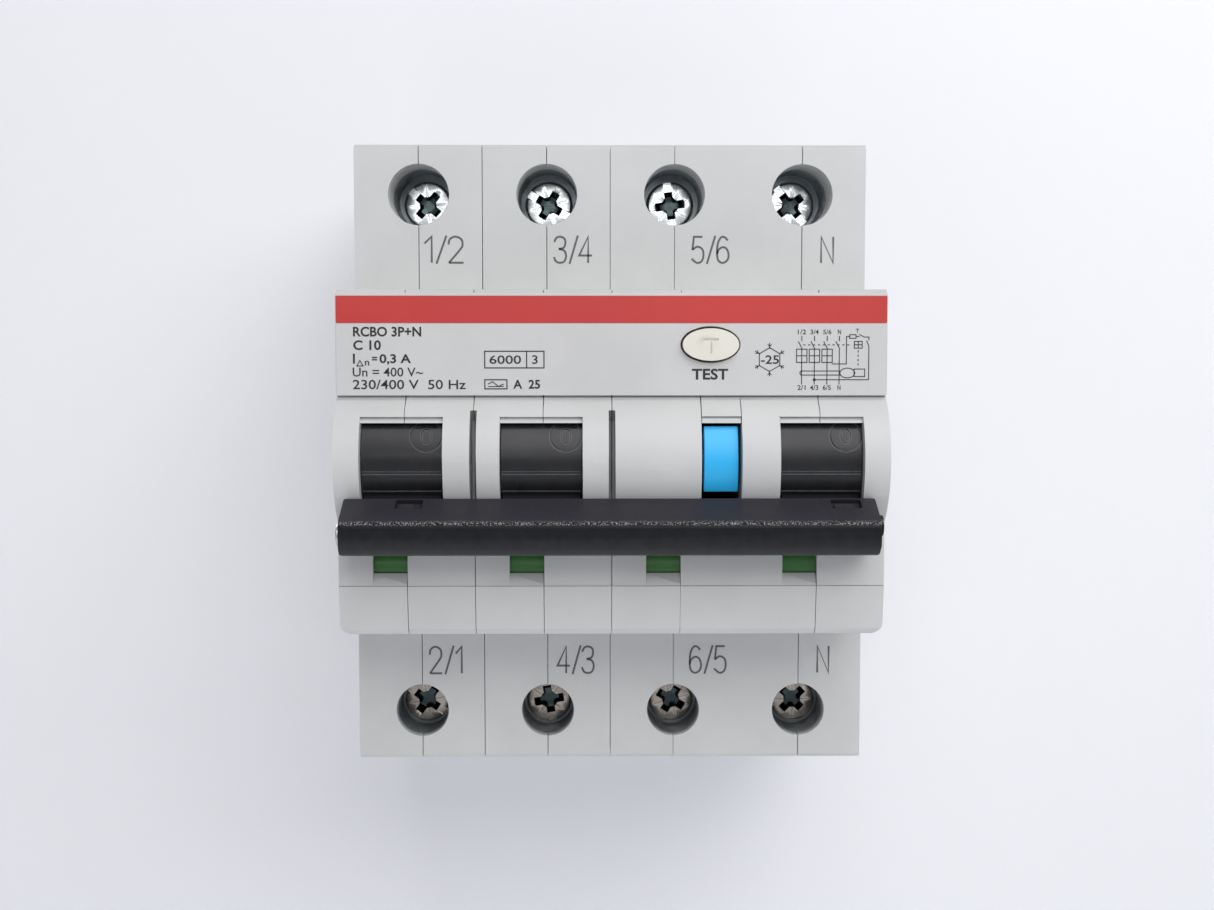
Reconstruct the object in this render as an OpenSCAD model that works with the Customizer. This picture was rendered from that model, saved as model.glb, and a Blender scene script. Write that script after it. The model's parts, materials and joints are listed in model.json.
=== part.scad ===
// Residual current circuit-breaker with overcurrent protection, four modules wide.
// It clips on a 35 mm top-hat rail. Upright as installed: X to the right, +Z up,
// the front faces -Y, and the front face of the rail is the plane y = 0.
// Sizes are millimetres. "u" is measured from the device's left side, and "depth"
// from the rail plane towards the front.

/* [Housing] */
// Width of one module
module_w = 17.5; // [17.4:0.1:17.7]
// Height of the housing
body_h = 85; // [84.6:0.1:86]
// Depth of the terminal shoulders in front of the rail plane
shoulder_d = 44; // [43.8:0.1:44.4]
// Height of the nose that stands through the panel cut-out
nose_h = 44.4; // [44.2:0.1:45]
// Depth of the nose in front of the rail plane
nose_d = 60.5; // [60.3:0.1:60.7]
// Width of the left half of each module's shell
half_w = 8.8; // [8.7:0.05:8.9]
// Thickness of the flat side walls
side_wall = 1; // [0.9:0.1:1.1]

/* [Handle] */
// Depth of the axis that the toggles turn on
axis_d = 54.3; // [54.2:0.1:54.4]
// Height of that axis
axis_z = 0.4; // [0.3:0.1:0.5]
// Radius of the curved cheeks beside the toggles
cheek_r = 10; // [9.9:0.1:10.1]
// Radius of the toggle drums
drum_r = 8.6; // [8.4:0.1:8.6]
// Width of a toggle drum
drum_w = 10.2; // [10:0.1:10.3]

/* [Front] */
// Thickness of the label plate on the nose
plate_t = 0.6; // [0.5:0.1:0.8]
// Width of the oval test button
button_w = 7.1; // [7:0.1:7.4]
// Height of the oval test button
button_h = 4.1; // [4:0.05:4.4]

/* [Terminals] */
// Height of the terminal screws above and below the middle
screw_z = 35.7; // [35.5:0.1:35.9]
// Radius of the screwdriver holes in the top shoulder
top_hole_r = 4.15; // [4:0.05:4.3]
// Radius of the screwdriver holes in the bottom shoulder
bottom_hole_r = 3.63; // [3.5:0.05:3.8]
// Radius of the heads of the top terminal screws
top_head_r = 3.4; // [3:0.1:3.5]
// Radius of the heads of the bottom terminal screws
bottom_head_r = 3.2; // [3:0.1:3.3]
// How far the top terminal screws lie below the middle of their holes
top_screw_drop = 0.3; // [0:0.05:0.4]

/* [Hidden] */
$fn = 64;
e = 0.01;

// Overall figures
device_w = 4 * module_w;
top_z = body_h / 2;
nose_z = nose_h / 2;
// The seams between the shells, from the left side
seams = [half_w, module_w, module_w + half_w, 2 * module_w, 2 * module_w + half_w, 3 * module_w + half_w];
// Each pole's terminal lies on a seam, and its switching parts beside it
terminal_u = [seams[0], seams[2], seams[4], seams[5]];
pole_u = [seams[0], seams[2], 42.3, seams[5]];

// Outline of the housing
foot_d = -5.5;
rail_half = 17.9;
lip_z = 16.1;
lip_d = -1.4;
edge = 0.5;
lower_nose_z = -15.7;
lower_nose_d = 59.7;

// Openings for the toggles, from the left side: [low, high]
toggle_windows = [[3.25, 13.7], [20.85, 31.3], [56.2, 66.75]];
flag_window = [46.35, 51.35];
window_top = 6.1;
ledge_z = 5.3;
window_bottom = -8.4;
drum_room = 0.3;
ledge_t = 0.6;
flag_r = 8.8;
cheek_join_u = 46.3;
// Windows for the contact positions end at the seams on their right
indicator_seams = [seams[0], seams[2], seams[4], seams[5]];
indicator_w = 4.4;
indicator_top = -9.4;
indicator_low = -14.15;
indicator_r = 4.2;
indicator_d = 55.2;
indicator_z = -13.4;

// Handle: the bar's section at OFF, as [depth, height]
bar_ends = [1.3, 68.1];
bar_pts = [[61.2, -4.1], [63.6, -4.1], [68.7, -6.6], [69, -7.4], [68.7, -9.9], [67.8, -10.75], [66.8, -10.95],
    [61.2, -10.95]];
bar_clear_r = cheek_r + 0.42;
notch_u = [[7.9, 11.3], [62.4, 66.2]];
// The nib that stands out of each toggle into the bar, and the bar's slightly larger hollow for it
nib_pts = [[59.2, -2.4], [62.9, -4.5], [67.4, -7.1], [67.4, -9.4], [61.4, -9.6], [60.9, -8], [58.3, -6.6]];
nib_mid = [62.8, -6.6];
nib_hollow_pts = [for (p = nib_pts) nib_mid + 1.02 * (p - nib_mid)];
pin_r = 1.4;
pin_d = 65.6;
pin_z = -8.5;
axle_r = 1;
running = 0.05;

// Test button
button_u = 47.5;
button_z = 15.2;
button_front = 62;

// Label plate
plate_low = 8.75;

// Inside: pockets as depth and height
term_pocket = [[9.8, 28.5], [42.8, 41.2]];
mid_pocket = [[3, 26.5], [42, 58.9]];
nose_in_z = 20.7;
rivets = [[39.2, 24.3], [39.2, -24.3], [5.8, 24.3], [5.8, -24.3], [4.8, 37.5], [4.8, -37.5]];
rivet_r = 1.5;
rivet_head_r = 2.7;
boss_r = 2.9;

// Switching parts
contact_pivot = [34, 2];
arm_len = 16.4;
arm_angle = 217.6;
close_angle = 12;
shaft_r = 1.5;
trip_pivot = [41, -3.4];

// Terminals
plate_d = [21, 22.2];
cage_in = [12.5, 24];
cage_out = [11, 26];
cage_half_w = 6;
cage_half_z = 4;
top_head_d = 31.4;
bottom_head_d = 37.5;
head_t = 1.6;
top_slots = [140, 150, 98, 128];
bottom_slots = [-35, 100, 60, 135];
screw_r = 2.5;
entry_half = 4.3;
entry_d = [12.8, 20.6];

// Rail clips
clip_u = [seams[0], seams[5]];
clip_half = 4.3;
clip_d = [-4.6, -1.6];
clip_slot = [-33.2, -22];
peg_z = [-33, -31];

function fx(u) = u - device_w / 2;
function at(u, d, z) = [fx(u), -d, z];

// A flat section drawn as [depth, height] and stretched from u0 to u1
module across(u0, u1) {
    translate([fx(u0), 0, 0]) mirror([0, 1, 0]) rotate([90, 0, 90]) linear_extrude(u1 - u0) children();
}

// A block between two corners given as u, depth and height
module block(lo, hi) {
    translate([fx(lo[0]), -hi[1], lo[2]]) cube([hi[0] - lo[0], hi[1] - lo[1], hi[2] - lo[2]]);
}

// A round rod along the depth, from d0 to d1
module rod_y(u, z, r, d0, d1) {
    translate([fx(u), -d0, z]) rotate([90, 0, 0]) cylinder(r = r, h = d1 - d0);
}

// A round rod along the width, from u0 to u1
module rod_x(d, z, r, u0, u1) {
    translate([fx(u0), -d, z]) rotate([0, 90, 0]) cylinder(r = r, h = u1 - u0);
}

// A wire wound along +Z from the origin
module coil(mean_r, wire_r, pitch, turns, steps = 16, sides = 6) {
    n = turns * steps;
    function ring(i) = [for (k = [0 : sides - 1])
        let (a = 360 * i / steps, b = 360 * k / sides, r = mean_r + wire_r * cos(b))
            [r * cos(a), r * sin(a), pitch * i / steps + wire_r * sin(b)]];
    points = [for (i = [0 : n]) each ring(i)];
    // Two triangles for each patch of the wire, then the two ends
    patches = [for (i = [0 : n - 1], k = [0 : sides - 1])
        let (a = i * sides + k, b = i * sides + (k + 1) % sides) each [[b, a, b + sides], [a, a + sides, b + sides]]];
    start_face = [for (k = [0 : sides - 1]) k];
    end_face = [for (k = [sides - 1 : -1 : 0]) n * sides + k];
    polyhedron(points, concat(patches, [start_face, end_face]));
}

// ---- Housing ----

// Side outline of the housing, without the cheeks
module outline() {
    polygon([
        [foot_d, lip_z], [foot_d, top_z - 4], [foot_d + 4, top_z], [shoulder_d - edge, top_z],
        [shoulder_d, top_z - edge], [shoulder_d, nose_z], [nose_d - edge, nose_z], [nose_d, nose_z - edge],
        [nose_d, lower_nose_z], [lower_nose_d, -nose_z + 0.8], [lower_nose_d - 0.8, -nose_z],
        [shoulder_d, -nose_z], [shoulder_d, -top_z + edge], [shoulder_d - edge, -top_z],
        [foot_d + 2, -top_z], [foot_d, -top_z + 2], [foot_d, -rail_half], [0, -rail_half], [0, rail_half],
        [lip_d, rail_half], [lip_d, lip_z]
    ]);
}

module pockets() {
    difference() {
        union() {
            translate(term_pocket[0]) square(term_pocket[1] - term_pocket[0]);
            mirror([0, 1]) translate(term_pocket[0]) square(term_pocket[1] - term_pocket[0]);
            translate([mid_pocket[0][0], -mid_pocket[0][1]])
                square([mid_pocket[1][0] - mid_pocket[0][0], 2 * mid_pocket[0][1]]);
            translate([mid_pocket[1][0] - 1, -nose_in_z])
                square([mid_pocket[1][1] - mid_pocket[1][0] + 1, 2 * nose_in_z]);
        }
        for (p = rivets) translate(p) circle(r = boss_r);
    }
}

// What is taken out for one toggle: its round room, its window, and the step above it
module toggle_room(u0, u1, r) {
    rod_x(axis_d, axis_z, r + drum_room, u0, u1);
    block([u0, axis_d, window_bottom], [u1, axis_d + 12, ledge_z]);
    difference() {
        block([u0, axis_d, window_bottom], [u1, axis_d + 12, window_top]);
        rod_x(axis_d, axis_z, r + drum_room + ledge_t, u0 - 1, u1 + 1);
    }
}

// A window for the contact position, with its sloping sill
module indicator_window(seam) {
    u0 = seam - indicator_w;
    block([u0, indicator_d, indicator_low], [seam, nose_d + 1, indicator_top]);
    across(u0, seam) polygon([[nose_d - 0.9, indicator_low + e], [nose_d + 1, indicator_low + e],
        [nose_d + 1, lower_nose_z + 0.15], [nose_d, lower_nose_z + 0.15]]);
    rod_x(indicator_d, indicator_z, indicator_r + 0.25, u0 - 0.3, seam + 0.3);
}

// The cable entry, and the slots that the clamp plate passes through
module terminal_cuts(u, hole_r) {
    rod_y(u, screw_z, hole_r, term_pocket[1][0] - 1, shoulder_d + 1);
    block([u - entry_half, entry_d[0], 41], [u + entry_half, entry_d[1], top_z + 1]);
    block([u - 3.6, plate_d[0] - 0.1, 26], [u + 3.6, plate_d[1] + 0.1, 29]);
}

// Tunnel of a rail clip, with the peg that its spring stands on
module clip_tunnel(u) {
    difference() {
        block([u - clip_half - 0.2, clip_d[0] - 0.2, -top_z - 1], [u + clip_half + 0.2, clip_d[1] + 0.2, -rail_half + e]);
        block([u - 1.2, clip_d[0] - 0.3, peg_z[0]], [u + 1.2, clip_d[1] + 0.3, peg_z[1]]);
    }
}

module shaft_bores() {
    rod_x(contact_pivot[0], contact_pivot[1], shaft_r + running, 0.5, device_w - 0.5);
    rod_x(trip_pivot[0], trip_pivot[1], shaft_r + running, 0.5, device_w - 0.5);
    rod_x(indicator_d, indicator_z, 0.8 + running, 0.5, device_w - 0.5);
    rod_x(axis_d, axis_z, axle_r + 0.02, 0.5, device_w - 0.5);
    for (p = rivets) {
        rod_x(p[0], p[1], rivet_r + 0.02, -1, device_w + 1);
        rod_x(p[0], p[1], rivet_head_r + 0.1, -1, 0.6);
        rod_x(p[0], p[1], rivet_head_r + 0.1, device_w - 0.6, device_w + 1);
    }
}

// Dark gaps between the cheeks of neighbouring modules
module cheek_gaps() {
    for (u = [module_w, 2 * module_w])
        across(u - 0.42, u + 0.42) polygon([[axis_d + 5, -8], [axis_d + 12, -8], [axis_d + 12, 6.9],
            [axis_d + 7.4, 6.9], [axis_d + 5, 5.5]]);
}

// Rounded lower corners of the nose, cut from the outer shells
module nose_corner(u, side) {
    r = 1.6;
    difference() {
        block([min(u, u + side * r) - (side > 0 ? 1 : 0), shoulder_d + 0.5, -nose_z - 1],
            [max(u, u + side * r) + (side > 0 ? 0 : 1), nose_d + 1, -nose_z + r]);
        rod_y(u + side * r, -nose_z + r, r, shoulder_d, nose_d + 2);
    }
}

module test_hole(grow, d0, d1) {
    translate(at(button_u, d0, button_z)) rotate([90, 0, 0]) linear_extrude(d1 - d0)
        scale([1, (button_h + 2 * grow) / (button_w + 2 * grow)]) circle(r = button_w / 2 + grow);
}

// One shell of the housing between u0 and u1, hollow from c0 to c1
module shell(u0, u1, c0, c1) {
    difference() {
        union() {
            across(u0, u1) outline();
            rod_x(axis_d, axis_z, cheek_r, u0, u1);
        }
        across(c0, c1) pockets();
        for (w = toggle_windows) toggle_room(w[0], w[1], drum_r);
        toggle_room(flag_window[0], flag_window[1], flag_r);
        for (s = indicator_seams) indicator_window(s);
        for (u = terminal_u) {
            terminal_cuts(u, top_hole_r);
            mirror([0, 0, 1]) terminal_cuts(u, bottom_hole_r);
        }
        for (u = clip_u) clip_tunnel(u);
        shaft_bores();
        cheek_gaps();
        nose_corner(0, 1);
        nose_corner(device_w, -1);
        test_hole(0.25, mid_pocket[1][1] - 1, nose_d + 1);
        block([-1, nose_d - 0.15, lower_nose_z - 0.06], [device_w + 1, nose_d + 1, lower_nose_z + 0.06]);
        block([flag_window[1] - 0.04, nose_d - 0.2, ledge_z], [flag_window[1] + 0.04, nose_d + 5, plate_low]);
    }
}

// The plain cheek of module 3, which reaches over the middle shell as far as the flag
module cheek_tongue(grow) {
    intersection() {
        across(seams[4] - e, cheek_join_u + grow) {
            translate([axis_d, axis_z]) circle(r = cheek_r + grow);
            translate([nose_d - 1.5 - grow, window_bottom - grow])
                square([1.5 + 2 * grow, plate_low - window_bottom + grow]);
        }
        block([seams[4] - e, nose_d - 1.5 - grow, window_bottom - grow], [cheek_join_u + grow, nose_d + 8, plate_low]);
    }
}

module case_1_left() {
    color("Gainsboro") shell(0, seams[0], side_wall, seams[0] + e);
}

module case_1_right() {
    color("Gainsboro") shell(seams[0], seams[1], seams[0] - e, seams[1] - side_wall);
}

module case_2_left() {
    color("Gainsboro") shell(seams[1], seams[2], seams[1] + side_wall, seams[2] + e);
}

module case_2_right() {
    color("Gainsboro") shell(seams[2], seams[3], seams[2] - e, seams[3] - side_wall);
}

module case_3_left() {
    color("Gainsboro") {
        shell(seams[3], seams[4], seams[3] + side_wall, seams[4] + e);
        cheek_tongue(0);
    }
}

module case_34_middle() {
    color("Gainsboro") difference() {
        union() {
            shell(seams[4], seams[5], seams[4] - e, seams[5] + e);
            intersection() {
                across(51.9, 53.1) union() {
                    translate([term_pocket[0][0], term_pocket[0][1]]) square(term_pocket[1] - term_pocket[0]);
                    mirror([0, 1]) translate(term_pocket[0]) square(term_pocket[1] - term_pocket[0]);
                    translate([45, -nose_in_z]) square([13.9, 2 * nose_in_z]);
                }
                difference() {
                    block([51, 0, -top_z], [54, nose_d, top_z]);
                    shaft_bores();
                }
            }
        }
        cheek_tongue(0.05);
    }
}

module case_4_right() {
    color("Gainsboro") shell(seams[5], device_w, seams[5] - e, device_w - side_wall);
}

// ---- Front plate and test button ----

module label_plate() {
    color("WhiteSmoke") difference() {
        across(0.05, device_w - 0.05) polygon([[nose_d, plate_low + 0.05], [nose_d + plate_t, plate_low + 0.05],
            [nose_d + plate_t, nose_z - 0.7], [nose_d + plate_t - 0.3, nose_z - 0.4], [nose_d, nose_z - 0.6]]);
        test_hole(0.25, nose_d - 1, nose_d + plate_t + 1);
    }
}

module test_button() {
    color("Beige") {
        test_hole(0, nose_d - 1.9, button_front);
        test_hole(0.7, nose_d - 2.6, nose_d - 1.9 + e);
        rod_y(button_u, button_z, 1.4, 53, nose_d - 2.6 + e);
    }
}

module test_button_spring() {
    color("Silver") translate(at(button_u, 53.6, button_z)) rotate([90, 0, 0]) coil(1.95, 0.22, 0.95, 4);
}

module test_contact_leaf() {
    color("Peru") {
        block([45, 50.2, 12.6], [51.9, 50.8, 17]);
        rod_y(button_u, button_z, 0.9, 50.8 - e, 51.1);
    }
}

// ---- Handle ----

// The nib with its hole for the pin
module nib_section() {
    difference() {
        polygon(nib_pts);
        translate([pin_d, pin_z]) circle(r = pin_r + 0.02);
    }
}

module toggle(window) {
    mid = (window[0] + window[1]) / 2;
    color("DimGray") difference() {
        union() {
            rod_x(axis_d, axis_z, drum_r, mid - drum_w / 2, mid + drum_w / 2);
            across(mid - drum_w / 2 + 0.2, mid + drum_w / 2 - 0.2) nib_section();
        }
        rod_x(axis_d, axis_z, axle_r + running, mid - drum_w, mid + drum_w);
        // Round seat of the marks beside the right edge
        translate(at(mid + 3.1, axis_d, axis_z)) rotate([-22, 0, 0]) rotate([90, 0, 0]) difference() {
            translate([0, 0, drum_r - 0.22]) cylinder(r = 2.05, h = 1);
            translate([0, 0, drum_r - 0.5]) cylinder(r = 1.85, h = 2);
        }
        // Hollow back, so that the links have room
        block([mid - drum_w / 2 + 1.5, axis_d - drum_r - 1, axis_z - 5],
            [mid + drum_w / 2 - 1.5, axis_d - 3, axis_z + 5]);
    }
}

module bar_section() {
    difference() {
        polygon(bar_pts);
        translate([axis_d, axis_z]) circle(r = bar_clear_r);
    }
}

// Section of a recess in the bar's upper slope, from one distance down the slope to another
module notch_section(from, to, depth, top = 0.5) {
    translate(bar_pts[1]) rotate(atan2(bar_pts[2][1] - bar_pts[1][1], bar_pts[2][0] - bar_pts[1][0]))
        translate([from, -depth]) square([to - from, depth + top]);
}

module tie_bar() {
    color("Black") difference() {
        union() {
            across(bar_ends[0], bar_ends[1]) bar_section();
            rod_x(pin_d + 0.6, pin_z + 1.2, 1.3, bar_ends[1] - e, bar_ends[1] + 0.5);
        }
        for (w = toggle_windows) {
            mid = (w[0] + w[1]) / 2;
            across(mid - drum_w / 2 + 0.15, mid + drum_w / 2 - 0.15) polygon(nib_hollow_pts);
        }
        rod_x(pin_d, pin_z, pin_r + 0.02, bar_ends[0] - 1, bar_ends[1] - 1.2);
        for (s = notch_u) difference() {
            across(s[0], s[1]) notch_section(0.35, 2.4, 0.55);
            across(s[0] + 0.45, s[1] - 1) notch_section(1.1, 3, 1, -0.2);
        }
    }
}

module tie_bar_pin() {
    color("Silver") rod_x(pin_d, pin_z, pin_r, bar_ends[0] - 0.6, bar_ends[1] - 1.4);
}

module fault_flag() {
    u0 = 46.62;
    u1 = 50.95;
    color("DeepSkyBlue") difference() {
        union() {
            across(u0, u1) intersection() {
                difference() {
                    translate([axis_d, axis_z]) circle(r = flag_r);
                    translate([axis_d, axis_z]) circle(r = flag_r - 1.7);
                }
                polygon([[axis_d, axis_z], [axis_d + 14, axis_z + 14 * tan(31)], [axis_d + 14, axis_z - 14 * tan(26)]]);
            }
            across(u0 + 1.2, u1 - 1.2) translate([axis_d, axis_z - 2]) square([flag_r - 1, 4]);
            rod_x(axis_d, axis_z, 2.4, u0 + 0.4, u1 - 0.4);
        }
        rod_x(axis_d, axis_z, axle_r + running, u0 - 1, u1 + 1);
    }
}

module toggle_axles() {
    color("Silver") {
        rod_x(axis_d, axis_z, axle_r, 0.6, seams[1] - 0.1);
        rod_x(axis_d, axis_z, axle_r, seams[1] + 0.1, seams[3] - 0.1);
        rod_x(axis_d, axis_z, axle_r, seams[3] + 0.1, device_w - 0.6);
    }
}

// ---- Contact position ----

module position_indicators() {
    color("ForestGreen") for (s = indicator_seams) difference() {
        rod_x(indicator_d, indicator_z, indicator_r, s - indicator_w - 0.1, s + 0.1);
        rod_x(indicator_d, indicator_z, 0.82, s - indicator_w - 1, s + 1);
    }
}

module indicator_shaft() {
    color("Silver") rod_x(indicator_d, indicator_z, 0.8, 0.6, device_w - 0.6);
}

// ---- Contacts ----

// Places a section at the contacts' pivot, with its first axis along the arm
module arm_frame(turn) {
    translate(contact_pivot) rotate(arm_angle + turn) children();
}

module moving_contacts() {
    color("Peru") for (u = pole_u) {
        across(u - 1, u + 1) arm_frame(0) difference() {
            union() {
                translate([0, -1.5]) square([arm_len + 1, 3]);
                circle(r = 3);
            }
            circle(r = shaft_r + 0.02);
        }
        across(u - 1.6, u + 1.6) arm_frame(0) translate([arm_len - 2.6, 1.5]) square([3.2, 1.1]);
    }
}

module contact_carriers() {
    color("DarkSlateGray") for (u = pole_u, side = [-1, 1]) {
        across(u + side * 2 - 0.9, u + side * 2 + 0.9) arm_frame(0) difference() {
            union() {
                circle(r = 4);
                polygon([[0, -4], [7, -3.4], [7, 2.4], [0, 4]]);
            }
            circle(r = shaft_r + 0.02);
        }
    }
}

module contact_shaft() {
    color("Silver") rod_x(contact_pivot[0], contact_pivot[1], shaft_r, 0.6, device_w - 0.6);
}

module contact_springs() {
    color("Silver") for (u = pole_u)
        translate(at(u, contact_pivot[0], contact_pivot[1])) rotate([arm_angle, 0, 0])
            translate([0, -11.8, -7.1]) coil(1.2, 0.22, 1.05, 5);
}

module fixed_contacts() {
    color("Peru") for (u = pole_u) {
        across(u - 1.6, u + 1.6) arm_frame(close_angle) translate([arm_len - 2.6, 2.85]) square([3.2, 1.1]);
        across(u - 2.5, u + 2.5) {
            arm_frame(close_angle) translate([arm_len - 3.4, 3.95 - e]) square([4.6, 1.2]);
            polygon([[25.7, -14.2], [26.9, -14.2], [26.9, -22.4], [plate_d[1], -22.4],
                [plate_d[1], -21.2], [25.7, -21.2]]);
        }
    }
}

module arc_chutes() {
    plates = 7;
    color("SlateGray") for (u = pole_u, i = [0 : plates - 1])
        across(u - 5, u + 5) translate([9.4, -13 - 1.55 * i]) square([9.6, 0.8]);
}

module trip_coils() {
    color("Peru") for (i = [0 : 2])
        translate(at(pole_u[i], 16, 7.5)) coil(3.6, 0.65, 1.75, 6, 16, 8);
}

module coil_plungers() {
    color("Silver") for (i = [0 : 2])
        translate(at(pole_u[i], 16, 6)) {
            cylinder(r = 1.8, h = 15);
            translate([0, 0, 14.6]) cylinder(r = 3, h = 0.8);
        }
}

module bimetal_strips() {
    color("Goldenrod") for (i = [0 : 2])
        block([pole_u[i] - 2.5, 6.4, -8], [pole_u[i] + 2.5, 7.3, 20]);
}

module trip_bar() {
    color("DarkSlateGray") {
        rod_x(trip_pivot[0], trip_pivot[1], shaft_r, 0.6, device_w - 0.6);
        for (u = pole_u)
            across(u - 2.2, u + 2.2) translate(trip_pivot) polygon([[-1, 0], [1, 0], [0.7, 7.5], [-0.7, 7.5]]);
    }
}

// ---- Residual current parts ----

module toroid_core() {
    color("DimGray") difference() {
        rod_x(16, 5, 11, 48.6, 54.6);
        rod_x(16, 5, 6.2, 48, 55.2);
    }
}

// The bobbin halves and the sense winding round the core, as one ring with wound lobes
module toroid_winding() {
    color("Peru") for (a = [20 : 24 : 340])
        translate(at(51.6, 16, 5)) rotate([a, 0, 0]) translate([0, 8.6, 0]) difference() {
            cube([7.8, 6.6, 1.6], center = true);
            cube([6.04, 4.94, 3], center = true);
        }
}

module trip_relay() {
    color("WhiteSmoke") difference() {
        block([47.4, 29, -21], [55.4, 38.6, -9.4]);
        rod_y(51.4, -14, 1.3, 34, 40);
    }
}

module relay_plunger() {
    color("Silver") rod_y(51.4, -14, 1.2, 34.2, 40.6);
}

module test_resistor() {
    color("Tan") {
        rod_x(48, 16.6, 1.5, 54, 60.6);
        rod_x(48, 16.6, 0.35, 53.2, 61.6);
    }
}

// ---- Terminals ----

module clamp_plates(side) {
    color("Goldenrod") for (u = terminal_u)
        mirror([0, 0, side < 0 ? 1 : 0]) block([u - 3.5, plate_d[0], 21.2], [u + 3.5, plate_d[1], 39.4]);
}

module clamp_plates_top() {
    clamp_plates(1);
}

module clamp_plates_bottom() {
    clamp_plates(-1);
}

module screw_sleeves(z, hole_r, head_d) {
    color("Gray") for (u = terminal_u) difference() {
        rod_y(u, z, hole_r + 0.75, head_d - 1, term_pocket[1][0]);
        rod_y(u, z, hole_r - 0.12, head_d - 2, term_pocket[1][0] + 1);
    }
}

module screw_sleeves_top() {
    screw_sleeves(screw_z, top_hole_r, top_head_d);
}

module screw_sleeves_bottom() {
    screw_sleeves(-screw_z, bottom_hole_r, bottom_head_d);
}

// A clamp cage that the screw draws towards the front
module cage(u, z) {
    color("Silver") difference() {
        block([u - cage_half_w, cage_out[0], z - cage_half_z], [u + cage_half_w, cage_out[1], z + cage_half_z]);
        block([u - cage_half_w + 1.4, cage_in[0], z - cage_half_z - 1],
            [u + cage_half_w - 1.4, cage_in[1], z + cage_half_z + 1]);
        rod_y(u, z, screw_r + running, cage_in[1] - 1, cage_out[1] + 1);
    }
}

// A clamp screw with a cross and, along one of its arms, a slot across the whole head
module clamp_screw(u, z, head_d, head_r, slot) {
    recess = 1.7;
    color("Silver") difference() {
        union() {
            rod_y(u, z, screw_r, plate_d[1] + 0.05, head_d - head_t + 0.4);
            rod_y(u, z, head_r, head_d - head_t, head_d);
        }
        translate(at(u, head_d, z)) rotate([0, -slot, 0]) {
            cube([4.3, 2 * recess, 0.95], center = true);
            cube([0.95, 2 * recess, 4.3], center = true);
            cube([2 * head_r + 1, 1.2, 1.2], center = true);
        }
        rod_y(u, z, 1.15, head_d - recess, head_d + 1);
    }
}

module cage_top(i) {
    cage(terminal_u[i], screw_z - top_screw_drop);
}

module cage_bottom(i) {
    cage(terminal_u[i], -screw_z);
}

module screw_top(i) {
    clamp_screw(terminal_u[i], screw_z - top_screw_drop, top_head_d, top_head_r, top_slots[i]);
}

module screw_bottom(i) {
    clamp_screw(terminal_u[i], -screw_z, bottom_head_d, bottom_head_r, bottom_slots[i]);
}

// ---- Rail clips and rivets ----

module rail_clip(u) {
    color("LightGray") difference() {
        union() {
            block([u - clip_half, clip_d[0], -top_z - 2.6], [u + clip_half, clip_d[1], -rail_half]);
            across(u - clip_half, u + clip_half) polygon([[clip_d[0], -rail_half - e], [clip_d[1], -rail_half - e],
                [clip_d[1], -lip_z], [clip_d[1] - 0.6, -lip_z], [clip_d[0], -lip_z - 1.6]]);
        }
        block([u - 1.8, clip_d[0] - 1, clip_slot[0]], [u + 1.8, clip_d[1] + 1, clip_slot[1]]);
        block([u - 2.4, clip_d[0] - 1, -top_z - 1.7], [u + 2.4, clip_d[1] + 1, -top_z - 0.5]);
    }
}

module rail_clip_spring(u) {
    color("Silver") translate(at(u, -3.1, peg_z[1] + 0.3)) coil(1.15, 0.2, 1.7, 5);
}

module case_rivets() {
    color("Silver") for (p = rivets) {
        rod_x(p[0], p[1], rivet_r, 0.2, device_w - 0.2);
        rod_x(p[0], p[1], rivet_head_r, 0.05, 0.6);
        rod_x(p[0], p[1], rivet_head_r, device_w - 0.6, device_w - 0.05);
    }
}

case_1_left();
case_1_right();
case_2_left();
case_2_right();
case_3_left();
case_34_middle();
case_4_right();
label_plate();
test_button();
test_button_spring();
test_contact_leaf();
toggle(toggle_windows[0]);  // toggle_1
toggle(toggle_windows[1]);  // toggle_2
toggle(toggle_windows[2]);  // toggle_4
tie_bar();
tie_bar_pin();
fault_flag();
toggle_axles();
position_indicators();
indicator_shaft();
moving_contacts();
contact_carriers();
contact_shaft();
contact_springs();
fixed_contacts();
arc_chutes();
trip_coils();
coil_plungers();
bimetal_strips();
trip_bar();
toroid_core();
toroid_winding();
trip_relay();
relay_plunger();
test_resistor();
clamp_plates_top();
clamp_plates_bottom();
screw_sleeves_top();
screw_sleeves_bottom();
cage_top(0);  // cage_top_1
cage_top(1);  // cage_top_2
cage_top(2);  // cage_top_3
cage_top(3);  // cage_top_4
cage_bottom(0);  // cage_bottom_1
cage_bottom(1);  // cage_bottom_2
cage_bottom(2);  // cage_bottom_3
cage_bottom(3);  // cage_bottom_4
screw_top(0);  // screw_top_1
screw_top(1);  // screw_top_2
screw_top(2);  // screw_top_3
screw_top(3);  // screw_top_4
screw_bottom(0);  // screw_bottom_1
screw_bottom(1);  // screw_bottom_2
screw_bottom(2);  // screw_bottom_3
screw_bottom(3);  // screw_bottom_4
rail_clip(clip_u[0]);  // rail_clip_left
rail_clip(clip_u[1]);  // rail_clip_right
rail_clip_spring(clip_u[0]);  // rail_clip_spring_left
rail_clip_spring(clip_u[1]);  // rail_clip_spring_right
case_rivets();
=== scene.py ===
# %% [markdown]
# # A four-module residual current circuit-breaker
# The device clips on a 35 mm rail in a panel. Seven grey mouldings are riveted side by side, and
# between them lie three black toggles on one tie bar, a blue fault flag, an oval test button, four
# green and red drums that tell where the contacts are, and eight clamp screws deep in their holes.
# The design comes as a finished frame. This lesson gives it edges, prints, threads and finishes.

import json
import math

import bmesh
import bpy
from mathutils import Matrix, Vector
from mathutils.bvhtree import BVHTree

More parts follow.
